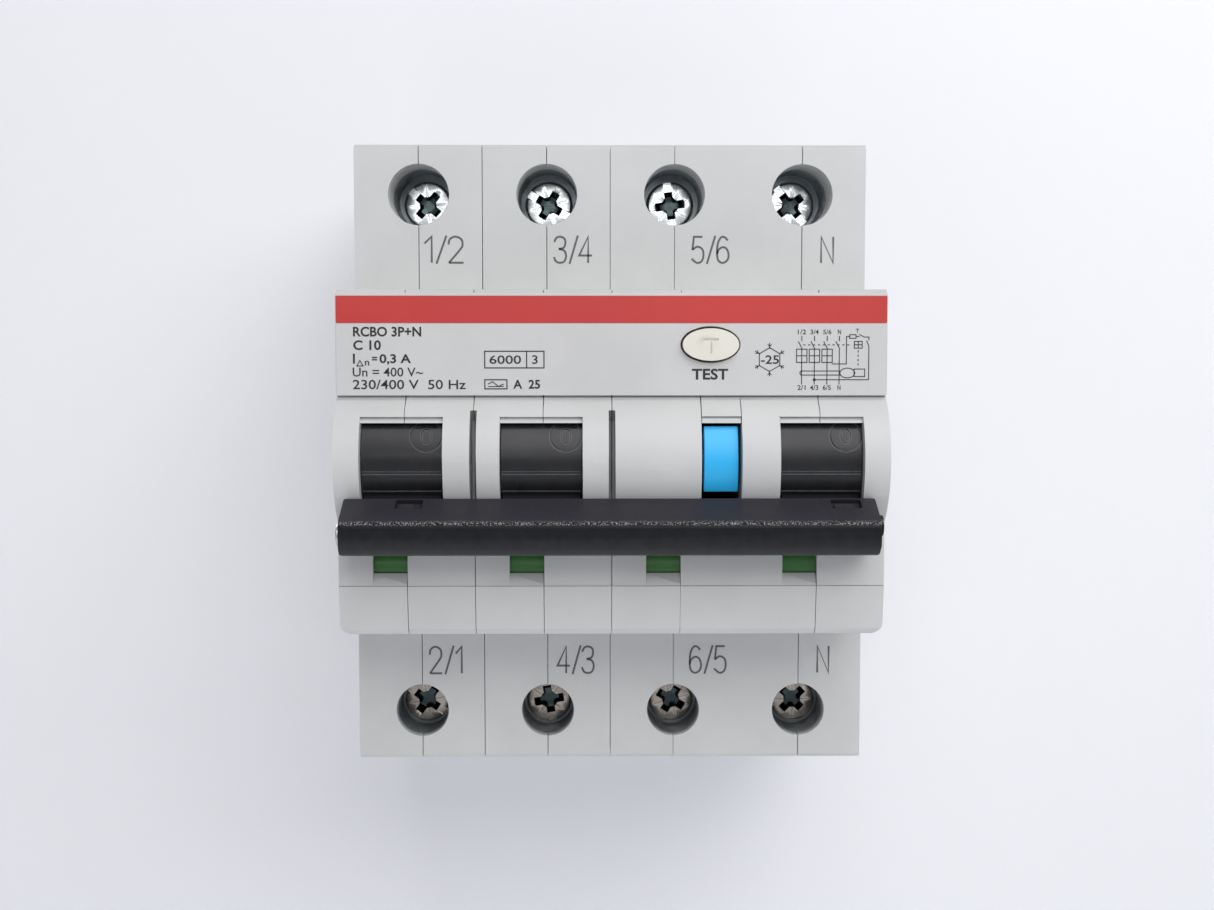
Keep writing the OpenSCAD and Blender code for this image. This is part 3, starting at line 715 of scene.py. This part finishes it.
# %% Test button and drums
KEY_U, KEY_Z = centre("test_button")
ON_KEY = flat_on(-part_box("test_button")[0].y / MM)
letter = bmesh.new()
ribbon(letter, [(KEY_U - 0.95, KEY_Z + 0.62), (KEY_U + 0.95, KEY_Z + 0.62)], 0.26, ON_KEY, 0.13)
ribbon(letter, [(KEY_U, KEY_Z + 0.62), (KEY_U, KEY_Z - 1.1)], 0.26, ON_KEY, 0.13)
rounded("test_key", "test_button", button_cream, radius=0.3,
        base=carved(design_mesh("test_button"), letter))
ON_DRUM = around(AXIS_DEPTH, AXIS_Z, DRUM_R)
SIGN_LEFT = 3.1
TOGGLES = ("toggle_1", "toggle_2", "toggle_4")
for toggle in TOGGLES:
    u = centre(toggle)[0] + SIGN_LEFT
    signs = bmesh.new()
    ribbon(signs, oval(u, 3.35, 0.62, 0.95, 24), 0.2, ON_DRUM, 0.12, closed=True)
    ribbon(signs, [(u, -11.7 - 0.2 * k) for k in range(11)], 0.24, ON_DRUM, 0.12)
    rounded("drum_of_" + toggle, toggle, toggle_black, radius=0.0,
            base=carved(design_mesh(toggle), signs), drum=(AXIS_DEPTH, AXIS_Z, DRUM_R))

# %% [markdown]
# Fine beads cross each drum, where the halves of its mould meet and where its lip begins. They
# stand a little proud, and they and the rims of the O and its ring are painted a lighter grey, as a
# painted highlight along each ridge.

# %% Beads on the drums
beads = bmesh.new()
for toggle in TOGGLES:
    middle = centre(toggle)[0]
    for arc, width in ((-1.2, 0.1), (-1.55, 0.16), (-3.86, 0.16)):
        ribbon(beads, [(middle - 5.0, arc), (middle + 5.0, arc)], width, ON_DRUM, 0.07)
    for half_u, half_z in ((2.12, 2.12), (0.74, 1.07), (0.5, 0.83)):
        ribbon(beads, oval(middle + SIGN_LEFT, 3.33, half_u, half_z, 36), 0.06, ON_DRUM, 0.012, closed=True)
# The beads carry a painted highlight in their lighter grey.
make_piece("drum_beads", beads, bead_highlight_grey, "handle")

# %% [markdown]
# A clamp screw is a turned part: a flat head over a threaded shank. Its profile, in radius and depth,
# is spun about the screw's own line. A cross recess with tapered arms takes a PZ2 bit, a slot along
# one of its arms takes a flat blade, and four short ticks between the arms tell the bit's kind. Each
# screw stopped at its own angle, which the slots of the design's screws tell.


# %% Turned parts
def spin(bm, profile, centre_u, centre_z, steps=72):
    """Adds a closed solid, from (radius, depth) points turned about a line along the depth."""
    rings = []
    for k in range(steps):
        turn = 2 * math.pi * k / steps
        rings.append([bm.verts.new(at(centre_u + r * math.cos(turn), d, centre_z + r * math.sin(turn)))
                      for r, d in profile])
    for k in range(steps):
        here, there = rings[k], rings[(k + 1) % steps]
        for j in range(len(profile)):
            nxt = (j + 1) % len(profile)
            bm.faces.new((here[j], here[nxt], there[nxt], there[j]))
    bmesh.ops.remove_doubles(bm, verts=bm.verts, dist=1e-7)


def close_between(bm, low, high):
    """Adds the faces of a solid between two rings of corners."""
    bm.faces.new(low[::-1])
    bm.faces.new(high)
    for k in range(len(low)):
        nxt = (k + 1) % len(low)
        bm.faces.new((low[k], low[nxt], high[nxt], high[k]))


def wedge(bm, place, length, width, low, high, taper=1.0):
    """A bar for a cut, narrower at the bottom by taper. place takes along, across and depth."""
    close_between(bm, *([bm.verts.new(place(x * length / 2 * t, y * width / 2 * t, d))
                         for x, y in ((-1, -1), (1, -1), (1, 1), (-1, 1))]
                        for d, t in ((low, taper), (high, 1.0))))


# %% Clamp screws
TERMINALS = [(side, i) for side in ("top", "bottom") for i in (1, 2, 3, 4)]
SLOT_ANGLES = {"top": (140, 150, 98, 128), "bottom": (-35, 100, 60, 135)}
HEAD_T, THREAD_ROOT, THREAD_R, PITCH = 1.6, 2.12, 2.5, 0.8


def clamp_screw(side, i):
    """One screw, cut and rounded, in the place and at the angle of the design's."""
    low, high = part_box(f"screw_{side}_{i}")
    u, z = centre(f"screw_{side}_{i}")
    foot, face, head = -high.y / MM, -low.y / MM, (high.x - low.x) / 2 / MM
    profile = [(0.0, foot), (2.1, foot)]
    depth = foot + 0.2
    while depth + PITCH < face - HEAD_T:
        profile += [(THREAD_ROOT, depth), (THREAD_R, depth + PITCH / 2)]
        depth += PITCH
    profile += [(THREAD_ROOT, depth), (THREAD_ROOT, face - HEAD_T), (head - 0.15, face - HEAD_T),
                (head, face - HEAD_T + 0.15), (head, face - 0.35), (head - 0.1, face - 0.13),
                (head - 0.32, face), (0.0, face)]
    slot = math.radians(SLOT_ANGLES[side][i - 1])

    def turned(extra):
        c, q = math.cos(slot + extra), math.sin(slot + extra)
        return lambda x, y, d: at(u + x * c - y * q, d, z + x * q + y * c)

    body, cuts = bmesh.new(), bmesh.new()
    spin(body, profile, u, z)
    for extra in (0.0, math.pi / 2):
        wedge(cuts, turned(extra), 4.5, 1.3, face - 1.7, face + 0.3, 0.62)
    wedge(cuts, turned(math.pi / 4), 2.6, 2.6, face - 1.6, face + 0.3, 0.6)
    wedge(cuts, turned(0.0), 2 * head + 1, 1.15, face - 0.35, face + 0.3)
    for extra in (math.pi / 4, 3 * math.pi / 4):
        wedge(cuts, turned(extra), 5.3, 0.16, face - 0.1, face + 0.3)
    rounded(f"clamp_screw_{side}_{i}", f"screw_{side}_{i}", SCREW_METAL[side], radius=0.06,
            base=carved(in_mm(body), cuts))


for side, i in TERMINALS:
    clamp_screw(side, i)

# %% [markdown]
# The clamp cages are bent from zinc-plated strip, and the two rail clips are moulded.

# %% Cages and clips
for side, i in TERMINALS:
    rounded(f"clamp_cage_{side}_{i}", f"cage_{side}_{i}", zinc_bright, radius=0.2)
for side in ("left", "right"):
    rounded(f"clip_{side}", f"rail_clip_{side}", housing_grey, radius=0.25)

# %% [markdown]
# Each screw sits in a sleeve with rings turned in its wall, dark against the bright head. In the
# upper row a pale collar, part of the moulding, holds the sleeve's front end a few millimetres below
# the shoulder. A low seat at the foot of every sleeve closes in round the screw. The sleeve is a
# profile with one ring for every turn of the screw's thread.


# %% Ringed sleeves
def sleeve_profile(inner, outer, low, high, groove=0.2):
    """The sleeve's section: a smooth outside, and an inside with V rings."""
    points = [(outer, low), (outer, high), (inner + 0.12, high), (inner, high - 0.12)]
    depth = high - 0.3
    while depth - PITCH > low + 0.2:
        points += [(inner, depth), (inner + groove, depth - PITCH * 0.3),
                   (inner + groove, depth - PITCH * 0.45), (inner, depth - PITCH * 0.75)]
        depth -= PITCH
    return points + [(inner, low)]


def row_of(side, *profiles):
    """The same spun parts at the four screws of one row, each given as height and profile."""
    combined = bmesh.new()
    for i in (1, 2, 3, 4):
        for z, profile in profiles:
            spin(combined, profile, centre(f"screw_{side}_{i}")[0], z)
    return combined


SLEEVE_FRONT, SLEEVE_WALL, SEAT = {"top": 38.0, "bottom": 42.8}, 0.87, 0.5
for side in ("top", "bottom"):
    low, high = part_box(f"screw_sleeves_{side}")
    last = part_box(f"screw_{side}_4")
    outer = (high.x - (last[0].x + last[1].x) / 2) / MM
    inner, back, front = outer - SLEEVE_WALL, -high.y / MM, -low.y / MM
    hole_z, screw_z = centre(f"screw_sleeves_{side}")[1], centre(f"screw_{side}_4")[1]
    head = (last[1].x - last[0].x) / 2 / MM
    seat = [(head + 0.05, back), (head + 0.05, back + SEAT), (head + 0.95, back + SEAT), (head + 0.95, back)]
    end = SLEEVE_FRONT[side]
    piece = make_piece(f"ringed_sleeves_{side}",
                       row_of(side, (hole_z, sleeve_profile(inner, outer, back, end)), (screw_z, seat)),
                       sleeve_dark, "housing", 30.0)
    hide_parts(f"screw_sleeves_{side}")
    if end < front - 0.1:
        collar = [(outer, end + 0.01), (outer, front), (inner + 0.1, front), (inner + 0.1, end + 0.01)]
        make_piece(f"sleeve_collars_{side}", row_of(side, (hole_z, collar)), housing_grey, "housing",
                   30.0)
    print(piece.name, "inner radius", round(inner, 2), "depths", round(back, 2), round(front, 2))

# %% [markdown]
# The parts inside keep the design's own shape and take a finish. The map below is the parts list:
# what each one is made of.

# %% Finishes of the parts inside
INSIDE = {
    "contact_springs": spring_wire, "test_contact_leaf": copper_bare, "moving_contacts": copper_bare,
    "fixed_contacts": copper_bare, "trip_coils": copper_wire, "toroid_winding": copper_wire,
    "toggle_axles": steel_ground, "indicator_shaft": steel_ground, "contact_shaft": steel_ground,
    "coil_plungers": steel_ground, "relay_plunger": steel_ground, "case_rivets": steel_ground,
    "contact_carriers": dark_plastic, "trip_bar": dark_plastic, "arc_chutes": chute_plate,
    "bimetal_strips": plated_strip, "clamp_plates_top": plated_strip, "clamp_plates_bottom": plated_strip,
    "toroid_core": core_grey, "trip_relay": relay_white, "test_resistor": resistor_lacquer,
}
for part, material in INSIDE.items():
    mesh = frame["nodes"][part].data
    mesh.materials.clear()
    mesh.materials.append(material)
print("parts inside with a finish", len(INSIDE))

# %% [markdown]
# Three springs are rounded copies, each with a mesh of its own. In the device the button presses its
# spring inwards and each rail clip pulls its spring down; the joint, direction and travel listed for
# each spring are not used here, so nothing shortens the springs.

# %% Springs
INWARDS, DOWN = Vector((0, 1, 0)), Vector((0, 0, -1))
for label, part, joint, axis, travel in (
        ("button_spring", "test_button_spring", "test_press", INWARDS, 1.8 * MM),
        ("clip_spring_left", "rail_clip_spring_left", "clip_left_pull", DOWN, 3.0 * MM),
        ("clip_spring_right", "rail_clip_spring_right", "clip_right_pull", DOWN, 3.0 * MM)):
    low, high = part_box(part)
    spring = rounded(label, part, spring_wire, radius=0.0)
    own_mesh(spring)

# %% [markdown]
# The prints are thin layers of ink. A line of ink is again a ribbon, a few hundredths of a
# millimetre thick, and its curves run smoothly through a few given points.


# %% Smooth paths
def curve_through(points, steps=5):
    """A smooth path through the given points."""
    path = []
    for i in range(len(points) - 1):
        p0, p1 = Vector(points[max(i - 1, 0)]), Vector(points[i])
        p2, p3 = Vector(points[i + 1]), Vector(points[min(i + 2, len(points) - 1)])
        for k in range(steps):
            t = k / steps
            path.append(0.5 * (2 * p1 + (p2 - p0) * t + (2 * p0 - 5 * p1 + 4 * p2 - p3) * t * t
                               + (3 * p1 - p0 - 3 * p2 + p3) * t ** 3))
    return [tuple(p) for p in path] + [tuple(points[-1])]


# %% [markdown]
# The terminal numbers are tall, thin and narrow, as an engraving pen draws them. Each numeral is
# one or two strokes in a box one high. A stroke of more than four points is drawn as a smooth curve.

# %% Engraved numerals
NUMERALS = {
    "1": [[(0.06, 0.74), (0.4, 1.0), (0.4, 0.0)]],
    "2": [[(0.04, 0.7), (0.1, 0.9), (0.36, 1.0), (0.64, 0.9), (0.7, 0.7), (0.6, 0.52), (0.05, 0.0)],
          [(0.05, 0.0), (0.74, 0.0)]],
    "3": [[(0.04, 0.8), (0.16, 0.95), (0.38, 1.0), (0.62, 0.93), (0.68, 0.76), (0.58, 0.58), (0.3, 0.53)],
          [(0.3, 0.53), (0.6, 0.47), (0.72, 0.27), (0.62, 0.06), (0.36, 0.0), (0.13, 0.06), (0.02, 0.22)]],
    "4": [[(0.54, 0.0), (0.54, 1.0), (0.02, 0.28), (0.76, 0.28)]],
    "5": [[(0.66, 1.0), (0.16, 1.0), (0.08, 0.5)],
          [(0.08, 0.5), (0.36, 0.62), (0.64, 0.53), (0.72, 0.3), (0.62, 0.07), (0.34, 0.0), (0.03, 0.16)]],
    "6": [[(0.66, 0.86), (0.5, 0.98), (0.28, 0.98), (0.1, 0.76), (0.05, 0.4), (0.12, 0.1), (0.38, 0.0),
           (0.64, 0.1), (0.72, 0.31), (0.6, 0.54), (0.36, 0.6), (0.14, 0.5), (0.05, 0.34)]],
    "/": [[(0.02, -0.04), (0.5, 1.04)]],
    "N": [[(0.06, 0.0), (0.06, 1.0), (0.64, 0.0), (0.64, 1.0)]],
}
ADVANCE = {"1": 0.6, "/": 0.56}


def engrave(bm, words, u0, u1, z0, z1, put, width):
    """Draws numerals so that they fill the box from u0, z0 to u1, z1."""
    total = sum(ADVANCE.get(c, 0.9) for c in words) - 0.16
    start, scale_u, scale_z = 0.0, (u1 - u0) / total, z1 - z0
    for c in words:
        for stroke in NUMERALS[c]:
            stroke = curve_through(stroke) if len(stroke) > 4 else stroke
            ribbon(bm, [(u0 + (start + x) * scale_u, z0 + y * scale_z) for x, y in stroke], width, put)
        start += ADVANCE.get(c, 0.9)


UPPER, LOWER = (26.45, 30.0), (-30.5, -26.75)
MARKS = [("1/2", 9.4, 14.9, *UPPER), ("3/4", 27.25, 32.45, *UPPER), ("5/6", 46.1, 51.3, *UPPER),
         ("N", 63.8, 65.9, *UPPER), ("2/1", 9.75, 14.4, *LOWER), ("4/3", 27.6, 32.75, *LOWER),
         ("6/5", 46.0, 51.2, *LOWER), ("N", 63.8, 65.8, *LOWER)]
marks = bmesh.new()
for words, u0, u1, z0, z1 in MARKS:
    engrave(marks, words, u0, u1, z0, z1, flat_on(SHOULDER), 0.27)
make_piece("terminal_marks", marks, mark_grey, "housing")
print("terminal marks", len(MARKS))

# %% [markdown]
# The label's words are generic ratings in a plain typeface. The letters become thin solids, scaled
# to the box that each line fills, so that the layout is set by the boxes and not by the typeface.


# %% Lettering
def lettering(bm, words, u0, u1, z0, z1, bold=0.008):
    """Adds words on the label as thin solids that fill the box."""
    text = bpy.data.curves.new("words", "FONT")
    text.body, text.resolution_u, text.extrude, text.offset = words, 3, 1.0, bold
    holder = bpy.data.objects.new("words", text)
    scene.collection.objects.link(holder)
    bpy.context.view_layer.update()
    mesh = bpy.data.meshes.new_from_object(holder)
    xs, ys = [v.co.x for v in mesh.vertices], [v.co.y for v in mesh.vertices]
    for v in mesh.vertices:
        across_share = (v.co.x - min(xs)) / (max(xs) - min(xs))
        up_share = (v.co.y - min(ys)) / (max(ys) - min(ys))
        v.co = at(u0 + across_share * (u1 - u0), LABEL_FRONT + INK * v.co.z, z0 + up_share * (z1 - z0))
    bm.from_mesh(mesh)
    bpy.data.objects.remove(holder)
    bpy.data.curves.remove(text)
    bpy.data.meshes.remove(mesh)


RATINGS = [("RCBO 3P+N", 2.3, 10.9, 16.2, 17.45, 0.022), ("C 10", 2.3, 5.8, 14.5, 15.75, 0.022),
           ("I", 2.25, 2.5, 12.8, 14.05, 0.022), ("n", 3.75, 4.3, 12.55, 13.15, 0.01),
           ("=", 4.65, 5.3, 13.2, 13.65, 0.022), ("0,3 A", 5.6, 9.58, 12.65, 14.0, 0.022),
           ("Un = 400 V~", 2.2, 11.1, 11.15, 12.3, 0.006),
           ("230/400 V  50 Hz", 2.2, 16.5, 9.55, 10.75, 0.008),
           ("6000", 19.5, 23.5, 12.75, 13.85, 0.01), ("3", 24.9, 25.6, 12.75, 13.85, 0.01),
           ("A  25", 22.5, 25.9, 9.6, 10.75, 0.024), ("TEST", 45.15, 49.75, 10.75, 12.15, 0.024),
           ("-25", 53.9, 56.2, 12.75, 13.85, 0.012)]
label = bmesh.new()
for words, u0, u1, z0, z1, bold in RATINGS:
    lettering(label, words, u0, u1, z0, z1, bold)
print("label words", len(RATINGS))

# %% [markdown]
# The label's lines: the boxes round two ratings, the triangle of the residual current's sign, and a
# six-armed frost sign. After them comes a wiring diagram of the usual kind.

# %% Boxes and frost sign
ON_LABEL = flat_on(LABEL_FRONT)
BOX_LINE, THIN_LINE = 0.14, 0.11


def line(*path, width=THIN_LINE, closed=False):
    """A printed line through points given as (u, z)."""
    ribbon(label, path, width, ON_LABEL, closed=closed)


def box(u0, u1, z0, z1, width=THIN_LINE):
    """A printed rectangle."""
    line((u0, z0), (u1, z0), (u1, z1), (u0, z1), width=width, closed=True)


box(18.9, 26.4, 12.25, 14.35, BOX_LINE)
line((24.2, 12.25), (24.2, 14.35), width=BOX_LINE)
box(18.9, 21.7, 9.6, 10.75, BOX_LINE)
line((19.3, 10.2), (19.9, 10.5), (20.6, 9.9), (21.3, 10.2), width=0.12)
line((19.3, 9.9), (21.3, 9.9), width=0.1)
line((2.75, 12.5), (3.5, 12.5), (3.12, 13.2), width=0.12, closed=True)
FROST_U, FROST_Z, FROST_R = 55.0, 13.3, 1.5


def toward(degrees):
    """The direction at this angle from straight up."""
    return math.sin(math.radians(degrees)), math.cos(math.radians(degrees))


corners = [(FROST_U + FROST_R * toward(60 * k)[0], FROST_Z + FROST_R * toward(60 * k)[1]) for k in range(6)]
line(*corners, closed=True)
for k in range(6):
    away, corner = Vector(toward(60 * k)), Vector(corners[k])
    line(corner - away * 0.1, corner + away * 0.62)
    for turn in (35, -35):
        barb = Vector(toward(60 * k + turn))
        line(corner + away * 0.12, corner + away * 0.12 + barb * 0.42, width=0.09)

# %% [markdown]
# The wiring diagram: pole by pole the blade, the trip coil's box and the line down, then the sensing
# ring with its relay, and on the right the test contact, its resistor and the broken release line.

# %% Wiring diagram
POLES = ((59.08, "1/2", "2/1"), (60.69, "3/4", "4/3"), (62.3, "5/6", "6/5"), (63.85, "N", "N"))
for u, above, below in POLES:
    half = 0.2 if above == "N" else 0.52
    lettering(label, above, u - half, u + half, 16.5, 17.1)
    lettering(label, below, u - half, u + half, 9.45, 10.05)
    line((u, 16.3), (u, 15.65))
    line((u - 0.45, 15.6), (u, 14.75), (u, 10.15))
    if above != "N":
        box(u - 0.66, u + 0.66, 12.94, 14.62)
        line((u - 0.66, 13.78), (u + 0.66, 13.78))
for k in range(10):
    line((59.25 + 0.62 * k, 15.16), (59.55 + 0.62 * k, 15.16))
line((64.0, 11.34), (59.0, 11.34), (58.85, 11.6), (59.0, 11.85), (64.0, 11.85))
line(*oval(64.9, 11.6, 0.95, 0.62, 20), closed=True)
box(65.75, 67.1, 11.15, 12.1)
line(*oval(60.69, 10.75, 0.14, 0.14, 8), closed=True)
line((60.85, 10.75), (67.6, 10.75), (67.6, 15.0), (67.3, 15.7))
lettering(label, "T", 65.9, 66.35, 16.7, 17.2)
box(65.15, 65.95, 16.0, 16.45)
line((65.15, 16.22), (64.75, 16.22), (64.75, 12.75), (62.9, 12.75))
line((65.95, 16.22), (66.4, 16.22))
line((66.35, 16.5), (67.0, 16.15), (67.6, 16.15), (67.6, 15.75))
box(65.75, 66.75, 14.75, 15.6)
line((65.75, 15.17), (66.75, 15.17))
line((66.25, 14.75), (66.25, 15.6))
for k in range(4):
    line((66.25, 14.5 - 0.55 * k), (66.25, 14.2 - 0.55 * k))
make_piece("label_ink", label, ink_dark, "housing")

# %% [markdown]
# A red band runs across the top of the label, over the whole width of the device.

# %% Red band
CORNER_R, HALF_BAND = 0.15, 0.04
BAND = (0.12, WIDTH - 0.12, 17.9, 21.35)


def printed_band(u0, u1, z0, z1):
    """A thin layer with slightly rounded corners."""
    bm = bmesh.new()
    path = []
    for cu, cz, start in ((u1 - CORNER_R, z1 - CORNER_R, 0), (u0 + CORNER_R, z1 - CORNER_R, 90),
                          (u0 + CORNER_R, z0 + CORNER_R, 180), (u1 - CORNER_R, z0 + CORNER_R, 270)):
        for k in range(4):
            turn = math.radians(start + 30 * k)
            path.append((cu + CORNER_R * math.cos(turn), cz + CORNER_R * math.sin(turn)))
    close_between(bm, *([bm.verts.new(at(u, LABEL_FRONT + lift, z)) for u, z in path]
                        for lift in (-HALF_BAND, HALF_BAND)))
    return bm


make_piece("label_band", printed_band(*BAND), band_red, "housing")

# %% [markdown]
# The device is shown against a plain pale wall close behind it, over a pale floor. The wall is seen
# only from the front: from behind, its own back face lets the view through, and it neither blocks
# nor bounces light, so that the rear of the device is lit as evenly as the front.


# %% Wall and floor
def sheet_of(name, corners, material):
    """A flat sheet of the stage."""
    bm = bmesh.new()
    bm.faces.new([bm.verts.new(Vector(c)) for c in corners])
    sheet = linked(name, bm, material)
    return sheet


def paper(name, colour):
    """A matt pale sheet, clear from behind."""
    material = bpy.data.materials.new(name)
    material.use_nodes = True
    tree = material.node_tree
    shader = tree.nodes["Principled BSDF"]
    shader.inputs["Base Color"].default_value = (*colour, 1.0)
    shader.inputs["Roughness"].default_value = 0.8
    clear = node(tree, "ShaderNodeBsdfTransparent")
    behind = node(tree, "ShaderNodeNewGeometry").outputs["Backfacing"]
    both = node(tree, "ShaderNodeMixShader", {0: behind, 1: shader.outputs[0], 2: clear.outputs[0]})
    tree.links.new(both.outputs[0], tree.nodes["Material Output"].inputs["Surface"])
    return material


WALL_Y, FLOOR_Z, SPAN = 0.0062, -0.16, 1.2
pale = paper("Pale paper", (0.955, 0.965, 0.995))
wall = sheet_of("wall", [(-SPAN, WALL_Y, FLOOR_Z), (SPAN, WALL_Y, FLOOR_Z), (SPAN, WALL_Y, SPAN),
                         (-SPAN, WALL_Y, SPAN)], pale)
sheet_of("floor", [(-SPAN, -SPAN, FLOOR_Z), (SPAN, -SPAN, FLOOR_Z), (SPAN, SPAN, FLOOR_Z),
                   (-SPAN, SPAN, FLOOR_Z)], pale)
for ray in ("visible_shadow", "visible_diffuse", "visible_glossy"):
    setattr(wall, ray, False)

# %% [markdown]
# One large soft light hangs above and in front, a second one behind lights the back, and a pale sky
# fills the shadows. Bright metal shows what stands in front of it, so a small white card, which
# lights nothing matt, is held opposite the upper screws.


# %% Lights
def soft_light(name, place, aim, size, power):
    """A rectangular light, aimed at a point. Sizes are in metres and the power is in watts."""
    data = bpy.data.lights.new(name, "AREA")
    data.shape, data.energy = "RECTANGLE", power
    data.size, data.size_y = size
    light = bpy.data.objects.new(name, data)
    light.location = place
    light.rotation_euler = (Vector(aim) - Vector(place)).to_track_quat("-Z", "Y").to_euler()
    scene.collection.objects.link(light)
    return light


soft_light("window", (0.12, -0.34, 0.26), (0, 0, 0), (0.44, 0.34), 1.3)
card = soft_light("card", (0.0, -0.9, 0.14), (0, 0, 0.03), (0.34, 0.12), 0.25)
card.visible_diffuse = False
soft_light("rear", (-0.28, 0.42, 0.2), (0, 0, 0), (0.4, 0.3), 1.6)
sky = bpy.data.worlds.new("Pale sky")
sky.use_nodes = True
background = sky.node_tree.nodes["Background"]
background.inputs["Color"].default_value = (0.955, 0.96, 1.0, 1.0)
background.inputs["Strength"].default_value = 0.39
scene.world = sky
scene.view_settings.view_transform = "Standard"

# %% [markdown]
# The camera stands a quarter of a metre in front, slightly above the middle, and looks a few degrees
# down, so that the walls of the upper screw holes and the step under the nose both show.

# %% Camera
lens = bpy.data.cameras.new("view")
lens.sensor_width, lens.lens, lens.clip_start = 36.0, 45.63, 0.01
camera = bpy.data.objects.new("view", lens)
camera.location = (-0.0027, -0.2564, 0.0145)
camera.rotation_euler = (math.radians(86.1), 0.0, math.radians(-0.61))
scene.collection.objects.link(camera)
scene.camera = camera
